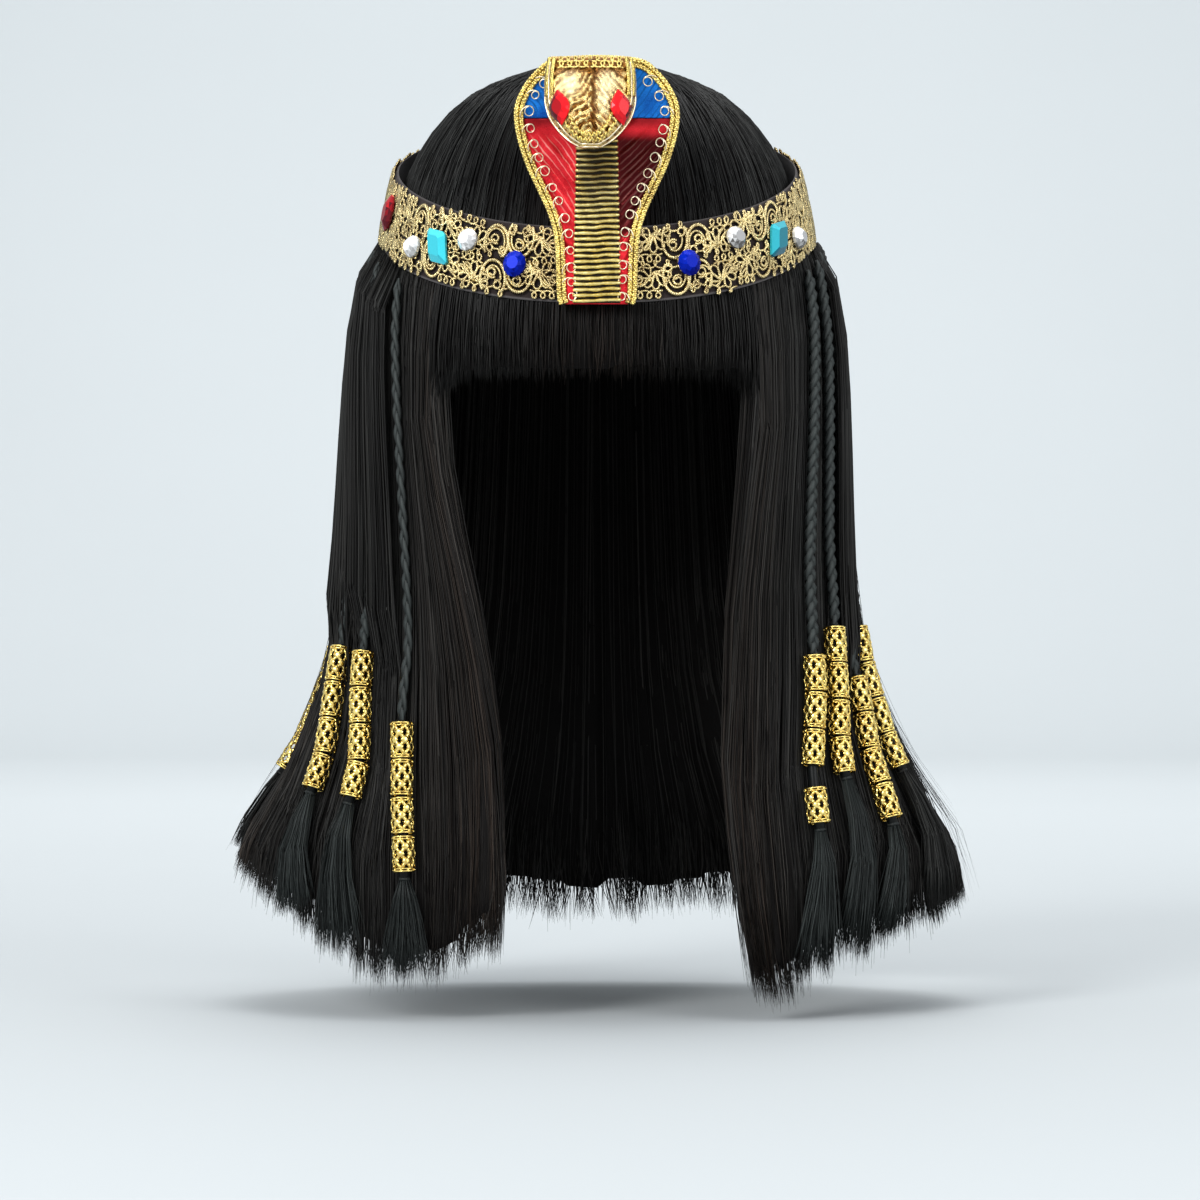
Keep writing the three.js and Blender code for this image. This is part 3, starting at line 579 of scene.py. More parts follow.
def hairMass():
    form, fringeEdge = massForm, hairForm["fringeEdge"]
    capRows, sideColumns, frontColumns = form["capRows"], form["sideColumns"], form["frontColumns"]
    start = np.concatenate([np.linspace(-180, -edges[-1], sideColumns, endpoint=False),
                            np.linspace(-edges[-1], edges[1], frontColumns, endpoint=False),
                            np.linspace(edges[1], 180, sideColumns, endpoint=False)])
    columns = len(start)
    inFront = (start > -edges[-1]) & (start < edges[1])
    jag = np.repeat(dice.uniform(-1, 1, columns // 4 + 1), 4)[:columns]
    seam = np.where(inFront, fringeEdge + form["fringeShort"] + jag, fringeEdge)
    top = hairForm["crown"] - 0.1
    capZ = top - (top - seam) * np.linspace(0, 1, capRows)[:, None] ** 1.6
    ends = hairEnd(flowAt(start, -330.0)) + form["shortOfEnds"] + form["endJag"] * jag
    curtainZ = seam + (ends - seam) * np.linspace(0, 1, form["curtainRows"] + 1)[1:, None]
    z = np.concatenate([capZ, curtainZ])
    angle = flowAngle(start, z.T).T
    ridges = combing(start[None], z)
    nearEnd = ease(80, 0, z - np.where(inFront, fringeEdge, ends))
    pressed = 1 - form["pressed"] * underBand(start, z)
    relief = form["relief"] * ridges * pressed * (0.4 + 0.6 * ease(10, -60, z))
    outer = overHair(angle, z, relief - form["sunk"])
    beside = np.abs(start) - np.where(start < 0, edges[-1], edges[1])
    thin = np.maximum(ease(10, 0, beside) * ease(-105, -125, z), nearEnd)
    wall = form["wall"] + (form["tipWall"] - form["wall"]) * thin
    inner = overHair(angle, np.minimum(z, hairForm["crown"] - 3), -wall + 0.3 * ridges)
    rows = len(z)
    index = np.arange(rows * columns).reshape(rows, columns)
    keep = np.ones((rows - 1, columns), bool)
    keep[capRows - 1:, sideColumns:sideColumns + frontColumns] = False  # the opening
    cells = sheetQuads(np.concatenate([index, index[:, :1]], 1))[keep.ravel()]
    under = rows * columns
    borders = np.concatenate([cells[:, [k, (k + 1) % 4]] for k in range(4)]).tolist()
    pairs = {tuple(pair) for pair in borders}
    rim = np.array([(a, b) for a, b in borders if (b, a) not in pairs])
    walls = np.stack([rim[:, 1], rim[:, 0], rim[:, 0] + under, rim[:, 1] + under], -1)
    quads = np.concatenate([cells, cells[:, ::-1] + under, walls])
    along = np.stack([start[None] * 6.5 + 0 * z, z * 0.03, 0 * z], -1).reshape(-1, 3)
    used = np.zeros(2 * under, bool)
    used[quads.ravel()] = True
    number = np.cumsum(used) - 1
    points = np.concatenate([outer.reshape(-1, 3), inner.reshape(-1, 3)])[used]
    shell = Heap().add((points, number[quads], ()), flow=np.concatenate([along, along])[used])
    shell.piece("hairMass", "hairMass", "hair", ["wig_hair"], turnOut=True)


hairMass()
print("mass of the hair done")


# loose strands over the mass, gathered in locks

lockMiddles = np.arange(-180, 180, 5.0) + dice.uniform(-1.6, 1.6, 72)
lockDrop = dice.normal(0, 1.3, 72)
# for all strands, unless a piece says otherwise
strandForm = {"grow": 1.0, "tipDepth": 0.0, "taper": 5, "proud": 0.15, "wave": 0.35, "pressed": 0.85}


def lockOf(start):
    return np.abs(start[:, None] - lockMiddles).argmin(1)


def tapered(t, tip):  # thickness along a strand
    return np.clip(np.minimum((t + 0.02) * 14, (1.02 - t) * tip), 0.12, 1)


def strands(heap, form, start, top, end, lift, warm=0.0, light=1.0):
    form = {**strandForm, **form}
    count = len(start)
    t = np.linspace(0, 1, form["steps"])[None] ** form["grow"]
    z = top[:, None] + (end - top)[:, None] * t
    phase, rate = dice.uniform(0, 6.3, (2, count, 1)), dice.uniform(3, 8, (2, count, 1))
    gather = (lockMiddles[lockOf(start)] - start)[:, None] * form["pull"] + dice.normal(0, 0.3, (count, 1))
    angle = flowAngle(start, z) + form["wander"] * np.sin(t * rate[0] + phase[0]) * t + gather * t ** 2
    raised = lift(z) if callable(lift) else lift[:, None]
    raised = raised + form["wave"] * np.sin(t * rate[1] + phase[1]) * t
    raised = raised * (1 - form["pressed"] * underBand(angle, z))
    height = form["proud"] + raised - form["tipDepth"] * ease(0.7, 1.0, t) * dice.random((count, 1))
    radius = form["width"] * dice.uniform(0.7, 1.25, (count, 1)) * tapered(t, form["taper"])
    shade = light * np.clip(dice.gamma(1.5, 0.2, (count, 1)), 0, 1) + 0 * t
    warmth = np.clip((warm * np.ones(count) * dice.uniform(0.3, 1.2, count))[:, None] * (0.3 + 0.7 * t), 0, 1)
    heap.add(tubes(overHair(angle, z, height), radius, hairFrame(angle, z)[0]),
             shade=np.repeat(shade.ravel(), 3), warm=np.repeat(warmth.ravel(), 3))


def hairPiece(name, form, layers):
    heap = Heap()
    for layer in layers:
        strands(heap, form, *layer)
    heap.piece(name, "hair", "hair")


def evenAtEnds(side, count, low, high):  # starts that come out evenly spread along the cut ends
    fine = np.linspace(low, high, 300)
    ends = np.maximum.accumulate(np.abs(flowAt(side * fine, -320.0)))
    return side * np.interp(dice.uniform(ends[0], ends[-1], count), ends, fine)


def tipHeight(start, spread):
    return hairEnd(flowAt(start, -335.0)) + lockDrop[lockOf(start)] + dice.normal(0, spread, len(start))


def innerWarmth(start, low):  # brown towards the edge of the opening and at the outer left
    return 0.75 * hump(np.abs(start), low, 11) + 0.12 + 0.6 * ease(-82, -95, start) * ease(-140, -118, start)


crownForm = {"count": 1450, "steps": 8, "grow": 1.15, "wander": 0.8, "pull": 0.1, "width": 0.23,
             "lowest": -60.0, "parting": 0.06, "aboveBand": 14.0, "end": (-6, 4), "lift": (0.0, 0.6)}


def crownStrands():
    form, count, lowest = crownForm, crownForm["count"], crownForm["lowest"]
    start = dice.uniform(-180, 180, count)
    levels = np.linspace(hairForm["crown"] - 0.4, lowest, 400)
    reach = np.maximum.accumulate(hairPoint(90, levels)[:, 0])
    root = np.interp(dice.uniform(form["parting"], 1, count) * sideAt(lowest), reach, levels)
    root = np.maximum(root, bandZ(start) + form["aboveBand"])
    end = bandZ(start) + dice.uniform(*form["end"], count)
    light = 0.6 + 0.6 * ease(10, 55, np.abs(start))[:, None]  # painted shade beside the hood, lighter outwards
    yield start, root, end, dice.uniform(*form["lift"], count), 0.0, light


curtainForm = {"steps": 10, "grow": 1.3, "wander": 0.5, "pull": 0.34, "tipDepth": 4.5, "taper": 6,
               "width": 0.22, "frontCount": 1500, "backCount": 540, "frontTo": 108.0, "backFrom": 104.0,
               "light": 1.15, "tipSpread": 2.6, "cutShort": 9.0, "top": (-8, 2), "lift": (1.4, 0.32)}


def curtainStrands(side, count, low, high):
    form = curtainForm
    atBand = side * dice.uniform(low, high, count // 2)
    start = np.concatenate([atBand, evenAtEnds(side, count - count // 2, low, high)])
    tip = tipHeight(start, form["tipSpread"]) + form["cutShort"] * dice.random(count) ** 5
    top = bandZ(start) + dice.uniform(*form["top"], count)
    yield start, top, tip, dice.gamma(*form["lift"], count), innerWarmth(start, edges[side]), form["light"]


endForm = {"count": 2400, "steps": 4, "wander": 0.9, "pull": 0.2, "taper": 3, "width": 0.22, "tipSpread": 2.0,
           "length": (30, 65), "depth": (-0.3, 6.5), "warmer": 0.15}


def endStrands(side):  # finer hair that fills out the cut ends
    form, count = endForm, endForm["count"]
    start = evenAtEnds(side, count, edges[side], 180)
    tip = tipHeight(start, form["tipSpread"])
    top = tip + dice.uniform(*form["length"], count)
    lift = -dice.uniform(*form["depth"], count)
    yield start, top, tip, lift, innerWarmth(start, edges[side]) + form["warmer"]


edgeForm = {"count": 210, "steps": 10, "wander": 0.9, "pull": 0.25, "width": 0.27, "warm": 0.6,
            "tipSpread": 3.0, "beside": (-1.2, 3.0), "top": (-112, -100)}


def edgeStrands():  # hair through the thickness of the opening's edge
    form, count = edgeForm, edgeForm["count"]
    for side, _ in bothSides:
        start = side * (edges[side] + dice.uniform(*form["beside"], count))
        top = dice.uniform(*form["top"], count)
        lift = -massForm["wall"] * dice.random(count) ** 1.3
        yield start, top, tipHeight(start, form["tipSpread"]), lift, form["warm"]


veilForm = {"steps": 13, "wander": 0.7, "pull": 0.3, "tipDepth": 2.5, "taper": 6, "width": 0.28, "warm": 0.15,
            "tipSpread": 3.0, "top": (-12, -6), "over": (4.5, 7.2), "foot": (-6, 1), "below": 16.0,
            "rise": 13.0, "places": [  # side, from, to, count, height of the beads
                (-1, 57, 112, 430, -226), (1, 75, 83.5, 110, -238)]}


def veilStrands():  # loose hair that hides the upper part of some braids
    form = veilForm
    for side, low, high, count, beads in form["places"]:
        start = side * dice.uniform(low, high, count)
        top = bandZ(start) + dice.uniform(*form["top"], count)
        over = dice.uniform(*form["over"], (count, 1))
        foot = beads + dice.uniform(*form["foot"], (count, 1))
        first = bandZ(start)[:, None] - form["below"]

        def rise(z):  # up over the braid below the ribbon, and down again before the beads
            return 0.4 + over * ease(first, first - form["below"], z) * ease(foot, foot + form["rise"], z)
        yield start, top, tipHeight(start, form["tipSpread"]), rise, form["warm"]


fringeForm = {"count": 1050, "steps": 7, "grow": 1.1, "wander": 0.35, "pull": 0.12, "tipDepth": 2.5,
              "width": 0.26, "overlap": 1.5, "cornerDrop": 7.5, "tipSpread": 1.5, "cutShort": 3.0,
              "top": (-8, 0), "lift": (-2.5, 1.4), "light": 0.5}


def fringeStrands():
    form, count, overlap = fringeForm, fringeForm["count"], fringeForm["overlap"]
    start = dice.uniform(-edges[-1] - overlap, edges[1] + overlap, count)
    end = hairForm["fringeEdge"] - form["cornerDrop"] * ease(27, 41, np.abs(start))
    end = end + dice.normal(0, form["tipSpread"], count) + form["cutShort"] * dice.random(count) ** 5
    top = bandZ(start) + dice.uniform(*form["top"], count)
    warm = 0.75 * hump(start, 0, 14) + 0.1
    yield start, top, end, dice.uniform(*form["lift"], count), warm, form["light"]


insideForm = {"count": 520, "steps": 9, "width": 0.32, "top": -70.0, "from": 70, "warm": 0.15,
              "tipSpread": 3.5, "wander": 0.8, "clear": 0.3, "loose": (1.3, 0.3)}


def insideStrands():  # what shows through the open front: the back of the hair from within
    form = insideForm
    count, steps, top = form["count"], form["steps"], form["top"]
    start = dice.uniform(form["from"], 360 - form["from"], count)
    start = np.where(start > 180, start - 360, start)
    tip = tipHeight(start, form["tipSpread"])[:, None]
    t = np.linspace(0, 1, steps)[None]
    z = top + (tip - top) * t
    angle = flowAngle(start, z) + form["wander"] * np.sin(3 * t + dice.uniform(0, 6.3, (count, 1))) * t
    thinner = (massForm["wall"] - massForm["tipWall"]) * ease(90, 20, z - tip)
    depth = massForm["wall"] + form["clear"] + dice.gamma(*form["loose"], (count, 1)) - thinner
    radius = form["width"] * tapered(t, strandForm["taper"]) * np.ones((count, 1))
    shade = np.clip(dice.gamma(1.6, 0.2, count), 0, 1)
    heap = Heap().add(tubes(overHair(angle, z, -depth), radius, hairFrame(angle, z)[0]),
                      shade=np.repeat(shade, steps * 3), warm=form["warm"])
    heap.piece("hairInside", "hair", "hair")


strayForm = {"count": 140, "steps": 12, "wander": 2.2, "pull": -0.2, "tipDepth": -4.0, "width": 0.12,
             "warm": 0.2, "from": (60, 120), "tip": (-2, 60), "top": (-60, 10), "lift": (0.5, 4.5)}


def strayStrands():  # fine hairs that stand off the outline
    form, count = strayForm, strayForm["count"]
    start = np.where(dice.random(count) < 0.5, -1, 1) * dice.uniform(*form["from"], count)
    tip = hairEnd(start) + dice.uniform(*form["tip"], count)
    top = bandZ(start) + dice.uniform(*form["top"], count)
    yield start, top, tip, dice.uniform(*form["lift"], count), form["warm"]


hairPiece("hairCrown", crownForm, crownStrands())
for side, name in bothSides:
    frontRow = curtainStrands(side, curtainForm["frontCount"], edges[side], curtainForm["frontTo"])
    backRow = curtainStrands(side, curtainForm["backCount"], curtainForm["backFrom"], 180)
    hairPiece("hairCurtain" + name, curtainForm, frontRow)
    hairPiece("hairBack" + name, curtainForm, backRow)
    hairPiece("hairEnds" + name, endForm, endStrands(side))
hairPiece("hairEdges", edgeForm, edgeStrands())
hairPiece("hairVeil", veilForm, veilStrands())
hairPiece("hairFringe", fringeForm, fringeStrands())
insideStrands()
hairPiece("hairStrays", strayForm, strayStrands())
print("strands done")


# braids, their beads and tufts

plaitForm = {
    "Left": [(25, 0.74), (17, 0.9), (17, 0.9), (17, 1)],  # length of one weave and share of the full width
    "Right": [(16, 1), (16, 1), (17, 0.9), (16, 1)],
    "sway": 1.35, "depth": 0.75, "strand": 1.4, "sides": 8, "step": 1.4,
    "core": 2.2, "knot": 1.7, "thread": 0.7,
}
tuftForm = {"count": 280, "steps": 5, "neck": 1.5, "spread": 9.0, "width": 0.17, "fan": 0.55,
            "reach": (0.84, 1.03), "curl": (3, 7), "drift": 0.8, "shade": (3.5, 0.14)}


def braidLine(row, side):
    table, (angleAt, heightAt) = tableCurves(braidWay(row, side))
    z = np.linspace(table[0, 0], table[-1, 0], 500)
    angle = side * angleAt(z)
    return overHair(angle, z, heightAt(z)), hairFrame(angle, z)[0]


def plaitStrands(heap, line, out, period, wide):  # three strands that pass over and under each other
    form = plaitForm
    plait, at = resample(line, form["step"])
    lift = np.stack([np.interp(plait[:, 2][::-1], line[::-1, 2], out[::-1, k])[::-1] for k in range(3)], -1)
    across = unit(np.cross(unit(np.gradient(plait, axis=0)), lift))
    swell = wide * np.clip((at + 2.5) / 7, 0.4, 1) * np.clip((at[-1] - at + 5) / 10, 0.7, 1)
    turn = fullTurn(form["sides"])
    for k in range(3):
        phase = 2 * np.pi * (at / period + k / 3)
        path = plait + across * (form["sway"] * np.sin(phase) * swell)[:, None]
        path = path + lift * (form["depth"] * np.sin(2 * phase) * swell)[:, None]
        flutes = 1 + 0.12 * np.cos(4 * turn)[None] + 0.05 * np.sin(at[:, None] * 2.1 + 3 * turn[None])
        # painted shade: each strand is lighter where it rides over and darker where it dives under; every
        # other side is lighter as hair lines
        shade = 0.15 + 0.5 * (np.arange(form["sides"]) % 2) + 0.25 * np.sin(2 * phase)[:, None]
        heap.add(tubes(path, (form["strand"] * swell[:, None] * flutes)[None], lift, form["sides"]),
                 shade=np.clip(shade, 0, 1).ravel(), warm=0.0)


def knot(centre, axis, facing):  # thread wound round the end of the plait
    sideways = unit(np.cross(axis, facing))
    turn = fullTurn(14)[:, None]
    ring = np.cos(turn) * sideways + np.sin(turn) * np.cross(sideways, axis)
    return tubes(centre + plaitForm["knot"] * ring, plaitForm["thread"], axis, 5, True)


def tuftStrands(heap, line, out, wide):
    form = tuftForm
    count, steps, neck = form["count"], form["steps"], form["neck"]
    pick = np.linspace(0, len(line) - 1, steps).astype(int)
    line, lift = line[pick], out[pick]
    across = unit(np.cross(unit(np.gradient(line, axis=0)), lift))[None]
    t = np.linspace(0, 1, steps)[None, :, None]
    each = (count, 1, 1)
    fan, deep = np.clip(dice.normal(0, form["fan"], (2, *each)), -1.05, 1.05)
    reach = dice.uniform(*form["reach"], each)
    curl, start = dice.uniform(*form["curl"], each), dice.uniform(0, 6.3, each)
    bend = (np.sin(curl * t + start) + dice.normal(0, form["drift"], each) * t) * t
    spread = neck + (form["spread"] * wide - neck) * t ** 0.7
    thick = neck + (braidForm["tuftThickness"] - neck) * t
    paths = line[None] + (line[-1] - line[0]) * (reach - 1) * t
    paths = paths + across * (fan * spread + bend) + lift[None] * deep * thick
    radius = (form["width"] * np.clip((1.03 - t) * 4, 0.15, 1) * dice.uniform(0.7, 1.3, each))[..., 0]
    shade = np.clip(dice.gamma(*form["shade"], count), 0, 1)
    heap.add(tubes(paths, radius, np.broadcast_to(lift[None], paths.shape)),
             shade=np.repeat(shade, steps * 3), warm=0.0)


def braidPiece(name, n, side, row, weave):
    firstZ, wide, drop = row[4:]
    line, out = braidLine(row, side)
    first = int(np.argmin(np.abs(line[:, 2] - firstZ)))
    beads = braidForm["beads"] * braidForm["beadPitch"] + drop
    last = first + int(np.searchsorted(runAlong(line[first:]), beads + 0.6))
    heap = Heap()
    plaitStrands(heap, line[:first + 1], out[:first + 1], *weave)
    core, _ = resample(line[first - 2:last + 3], 4.0)
    heap.add(tubes(core, plaitForm["core"], out[first], 7), shade=0.0, warm=0.0)
    heap.add(knot(line[last + 1], unit(line[last + 3] - line[last]), out[last]), shade=0.3, warm=0.0)
    tuftStrands(heap, line[last:], out[last:], wide)
    look = "hair" if n == 4 else "plait"  # the outermost is as dark as the hair round it
    heap.piece(f"plait{name}{n}", look, "hair", [f"braid_{name.lower()}_{n}"])


for side, name in bothSides:
    for n, (row, weave) in enumerate(zip(braidForm[name], plaitForm[name]), 1):
        braidPiece(name, n, side, row, weave)
print("braids done")

beadForm = {"length": 14.3, "radius": 4.4, "wall": 0.5, "cells": 6, "bandHeight": 1.7, "ribWidth": 0.84,
            "flower": 1.8, "notch": 0.74, "hoops": [(0.4, 0.42), (1.35, 0.36)],
            "pearl": 0.55, "pearlInset": 0.9}


def beadShape():  # pressed gold tube: crossed ribs, rosettes where they meet and a pearled band at each end
    form, cells = beadForm, beadForm["cells"]
    heap = Heap()
    middle, half = form["radius"] - form["wall"] / 2, form["length"] / 2
    reach = half - form["bandHeight"] * 0.8
    upright = np.array([0, 0, 1.0])
    t = np.linspace(-1, 1, 9)
    for hand in (-1, 1):
        for k in range(cells):
            turn = 2 * np.pi * (k / cells + hand * t / cells)
            out = np.stack([np.cos(turn), np.sin(turn), 0 * t], -1)
            path = middle * out + t[:, None] * reach * upright
            heap.add(tubes(path, form["ribWidth"], out[None], 4, flat=0.42))
    petalTurn = fullTurn(12)[:, None]
    size = form["flower"] * np.where(np.arange(12) % 2, form["notch"], 1)[:, None]
    for level in (-0.5, 0, 0.5):
        for k in range(cells):
            turn = 2 * np.pi * (k + (0.5 if level else 0)) / cells
            out = np.array([np.cos(turn), np.sin(turn), 0])
            flower = size * (np.cos(petalTurn) * np.cross(upright, out) + np.sin(petalTurn) * upright)
            centre = out * (middle - 0.1) + level * reach * upright
            crest, tip = centre + 0.9 * flower + out * 0.35, centre + 0.4 * flower + out * 0.6
            heap.add(loft([centre + flower, crest, tip]))
    turn = fullTurn(18)
    circle = np.stack([np.cos(turn), np.sin(turn), 0 * turn], -1)
    for end in (-1, 1):
        for inset, thick in form["hoops"]:
            heap.add(tubes(middle * circle + end * (half - inset) * upright, thick, circle[None], 4, True))
        for out in circle[::2]:
            place = middle * out + end * (half - form["pearlInset"]) * upright
            aside = np.cross(out, upright)
            pearl = form["pearl"] * np.array([aside, upright, -aside, -upright])
            foot, crest = place + pearl - out * 0.2, place + pearl + out * 0.15
            heap.add(loft([foot, crest, place + 0.4 * pearl + out * 0.5]))
    return heap.shape()


beadPoints, beadQuads, beadTris = beadShape()


def beadString(name, n):
    heap = Heap()
    nodes = [f"bead_{name.lower()}_{n}_{k}" for k in range(1, braidForm["beads"] + 1)]
    for node in nodes:  # each bead takes its place and axis from its solid
        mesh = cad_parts[node].data
        corners = np.empty(len(mesh.vertices) * 3)
        mesh.vertices.foreach_get("co", corners)
        corners = corners.reshape(-1, 3) / mm
        middle = (corners.min(0) + corners.max(0)) / 2
        axis = np.linalg.eigh(np.cov((corners - corners.mean(0)).T))[1][:, 2]
        axis = axis * np.sign(axis[2])
        first = unit(np.cross(axis, [0.0, 1.0, 0.0]))
        turn = dice.uniform(0, 2 * np.pi)
        aside = np.cos(turn) * first + np.sin(turn) * np.cross(axis, first)
        basis = np.stack([aside, np.cross(axis, aside), axis])
        heap.add((beadPoints @ basis + middle, beadQuads, beadTris))
    heap.piece(f"beads{name}{n}", "bead", "gold", nodes)


for _, name in bothSides:
    for n in range(1, 5):
        beadString(name, n)
print("beads done")


# headband: ribbon, two rows of gold scroll lace, stones

ribbonForm = {
    "columns": 240, "ribs": 1.75,
    "section": [(-15, 0.3), (-14.6, 0.85), (-14.0, 0.75), (-10, 0.9), (-5, 1), (0, 1), (5, 1), (10, 0.9),
                (14.2, 0.8), (15, 0.3)],  # rise, share of the thickness
}


def headband():
    columns, section = ribbonForm["columns"], ribbonForm["section"]
    angle = np.linspace(-180, 180, columns, endpoint=False)
    low = bandForm["height"]
    face = [onBand(angle, rise, low + share * bandForm["thickness"]) for rise, share in section]
    under = [onBand(angle, rise, low) for rise, _ in section[::-1]]
    rings = np.array(face + under).transpose(1, 0, 2)
    around = rings.shape[1]
    index = np.arange(columns * around).reshape(columns, around)
    below, beside = np.roll(index, -1, 0), np.roll(index, -1, 1)
    quads = np.stack([index, below, np.roll(below, -1, 1), beside], -1).reshape(-1, 4)
    rises = np.array(section)[:, 0]
    edge = np.concatenate([ease(-14.2, -14.6, rises) + 0.5 * ease(14.5, 15, rises), 0 * rises])
    run = np.repeat(angle * ribbonForm["ribs"], around)
    strip = Heap().add((rings, quads, ()), edge=np.tile(edge, columns), along=run)
    made = strip.piece("ribbon", "ribbon", "ribbon", ["headband"], turnOut=True)
    loop = runAlong(onBand(np.append(angle, 180), 0.0, low + bandForm["thickness"] / 2))[-1]
    return round(loop)


print("ribbon", headband(), "mm round")

laceForm = {"reach": 112.0, "motif": 21.0, "rowRise": 6.9, "height": 2.15, "start": 15.0, "halfRow": 8.0,
            "turn": 5.0, "size": 0.04, "slip": 0.4, "slipUp": 0.35, "flat": 0.8, "shadow": [0, 0.6, 1.2, 0.6]}
laceAngles = np.linspace(0, laceForm["reach"], 400)
laceRun = runAlong(onBand(laceAngles, 0.0, 3.0))


def spiral(cx, cy, big, small, turns, begin, steps):
    t = np.linspace(0, 1, steps)
    size = big + (small - big) * t
    turn = np.radians(begin) + 2 * np.pi * turns * t
    return np.stack([cx + size * np.cos(turn), cy + size * np.sin(turn)], -1)


def arc(cx, cy, rx, ry, begin, end, steps):
    turn = np.radians(np.linspace(begin, end, steps))
    return np.stack([cx + rx * np.cos(turn), cy + ry * np.sin(turn)], -1)


def loops(x0, x1, y, size, count, up=1):
    t = np.linspace(0, 1, count * 12 + 1)
    turn = 2 * np.pi * count * t
    return np.stack([x0 + (x1 - x0) * t + size * 1.1 * np.sin(turn), y - up * size * np.cos(turn)], -1)


def bow(x0, y0, x1, y1, sag):
    t = np.linspace(0, 1, 8)
    bend = sag * np.sin(np.pi * t)
    return np.stack([x0 + (x1 - x0) * t + bend * 0.4, y0 + (y1 - y0) * t + bend], -1)


def petals(cx, cy, reach, wide, begin, end, count):  # fan of long loops from one point
    turn = np.radians(np.repeat(np.linspace(begin, end, count), 11))
    t = np.tile(np.linspace(0, np.pi, 11), count)
    out, aside = reach * np.sin(t), wide * np.sin(2 * t)
    c, s = np.cos(turn), np.sin(turn)
    return np.stack([cx + out * c - aside * s, cy + out * s + aside * c], -1)


laceStrokes = [  # line, half thickness, height
    (arc(5.2, -1.4, 5.4, 7.4, 222, -42, 18), 0.95, 0.6),
    (arc(5.2, -1.2, 3.7, 5.0, 205, -25, 14), 0.66, 0.5),
    (spiral(5.2, 0.6, 2.2, 0.9, 1.3, 230, 16), 0.66, 0.8),
    (spiral(2.4, -4.0, 1.9, 1.1, 1.1, 60, 12), 0.66, 0.8),
    (spiral(8.0, -4.0, 1.9, 1.1, -1.1, 120, 12), 0.66, 0.8),
    (bow(9.8, -5.2, 20.0, 3.6, 1.5), 0.8, 0.6),
    (petals(14.0, -3.4, 7.2, 1.5, 60, 165, 4), 0.6, 0.9),
    (petals(15.2, -1.0, 5.8, 1.4, -75, 20, 3), 0.6, 0.9),
    (loops(10.6, 20.6, 5.6, 1.5, 3), 0.6, 0.6),
    (spiral(20.0, -0.6, 2.0, 1.1, 1.1, 20, 12), 0.66, 0.7),
    (loops(-0.6, 20.8, -5.8, 1.6, 4, -1), 0.62, 0.55),
]


def laceMotif(heap, side, row, n, pitch):  # sewn by hand, so no two are alike
    form = laceForm
    for line, half, lift in laceStrokes:
        a, size = np.radians(dice.normal(0, form["turn"])), dice.normal(1, form["size"])
        centre = line.mean(0)
        line = centre + size * (line - centre) @ [[np.cos(a), np.sin(a)], [-np.sin(a), np.cos(a)]]
        x, y = line[:, 0], np.clip(line[:, 1], -form["halfRow"], form["halfRow"])
        run = (x if n % 2 else form["motif"] - x) / form["motif"]
        run = form["start"] + (n + run) * pitch + dice.normal(0, form["slip"])
        upside = -y if (n + (row > 0)) % 2 else y
        rise = row * (form["rowRise"] + upside + dice.normal(0, form["slipUp"]))
        angle = side * np.interp(run, laceRun, laceAngles)
        path = onBand(angle, rise, form["height"] + lift)
        out = hairFrame(angle, path[:, 2])[0]
        heap.add(tubes(path, half, out[None], 4, flat=form["flat"]), along=np.repeat(runAlong(path), 4),
                 dim=np.tile(form["shadow"], len(path)))


def goldLace():
    heap = Heap()
    length = laceRun[-1] - laceForm["start"]
    count = int(length / laceForm["motif"])
    for side, _ in bothSides:
        for row in (-1, 1):
            for n in range(count):
                laceMotif(heap, side, row, n, length / count)
    heap.piece("goldLace", "lace", "gold", ["lace_trim"])


goldLace()
print("lace done")

# name, look, slot, width, length, rise, then angle and light on the left and on the right, and the
# height above the ribbon's middle
stoneForm = [
    ("blue", "blueGlass", "blue_glass", 9.2, 10.4, 3.4, (17.5, 0.7), (20, 0.55), -2),
    ("clear_front", "clearGlass", "clear_glass", 9, 9, 3.4, (30.5, 0.95), (33.5, 0.35), 4.5),
    ("turquoise", "turquoiseGlass", "turquoise_glass", 10, 13.5, 3.2, (39.5, 0.75), (48, 0.15), -1),
    ("clear_side", "clearGlass", "clear_glass", 9, 9, 3.4, (49, 0.95), (58, 0.5), -4.5),
    ("red", "redGlass", "red_glass", 10, 15, 2.6, (66, 0.25), (98, 0.4), 2),
]
stoneSetting = {"height": 3.8, "skew": 0.24, "glint": (-0.35, 0.6), "scatter": 0.16}


def cutStone(outline, rise, table, tiers=3):  # flat facets, each tier turned half a step on the last
    count = len(outline)
    between = (outline + np.roll(outline, -1, 0)) / 2
    rings = [(outline, 1.0, 0.0), (outline, 1.0, 0.3)]
    if tiers > 2:
        rings.append((between, 1.0 - 0.42 * (1 - table), 0.68))
    rings.append((outline, table, 1.0))
    layers = [np.column_stack([line * share, np.full(count, level * rise)]) for line, share, level in rings]
    triangles = []
    for k, (low, high) in enumerate(zip(layers, layers[1:])):
        for i in range(count):
            j = (i + 1) % count
            if k == 0 or tiers == 2:
                triangles += [(low[i], low[j], high[j]), (low[i], high[j], high[i])]
            elif k == 1:
                triangles += [(low[i], low[j], high[i]), (high[i], low[j], high[j])]
            else:
                triangles += [(low[i], high[j], high[i]), (low[i], low[j], high[j])]
    foot, top = layers[0], layers[-1]
    for i in range(1, count - 1):
        triangles += [(top[0], top[i], top[i + 1]), (foot[0], foot[i + 1], foot[i])]
    return np.array(triangles)


def oval(width, length, count=12):
    turn = fullTurn(count)
    return np.column_stack([width / 2 * np.cos(turn), length / 2 * np.sin(turn)])


def baguette(width, length, corner=1.2):
    w, h = width / 2, length / 2
    half = np.array([(w, h - corner), (w - corner, h), (corner - w, h), (-w, h - corner)])
    return np.concatenate([half, -half])


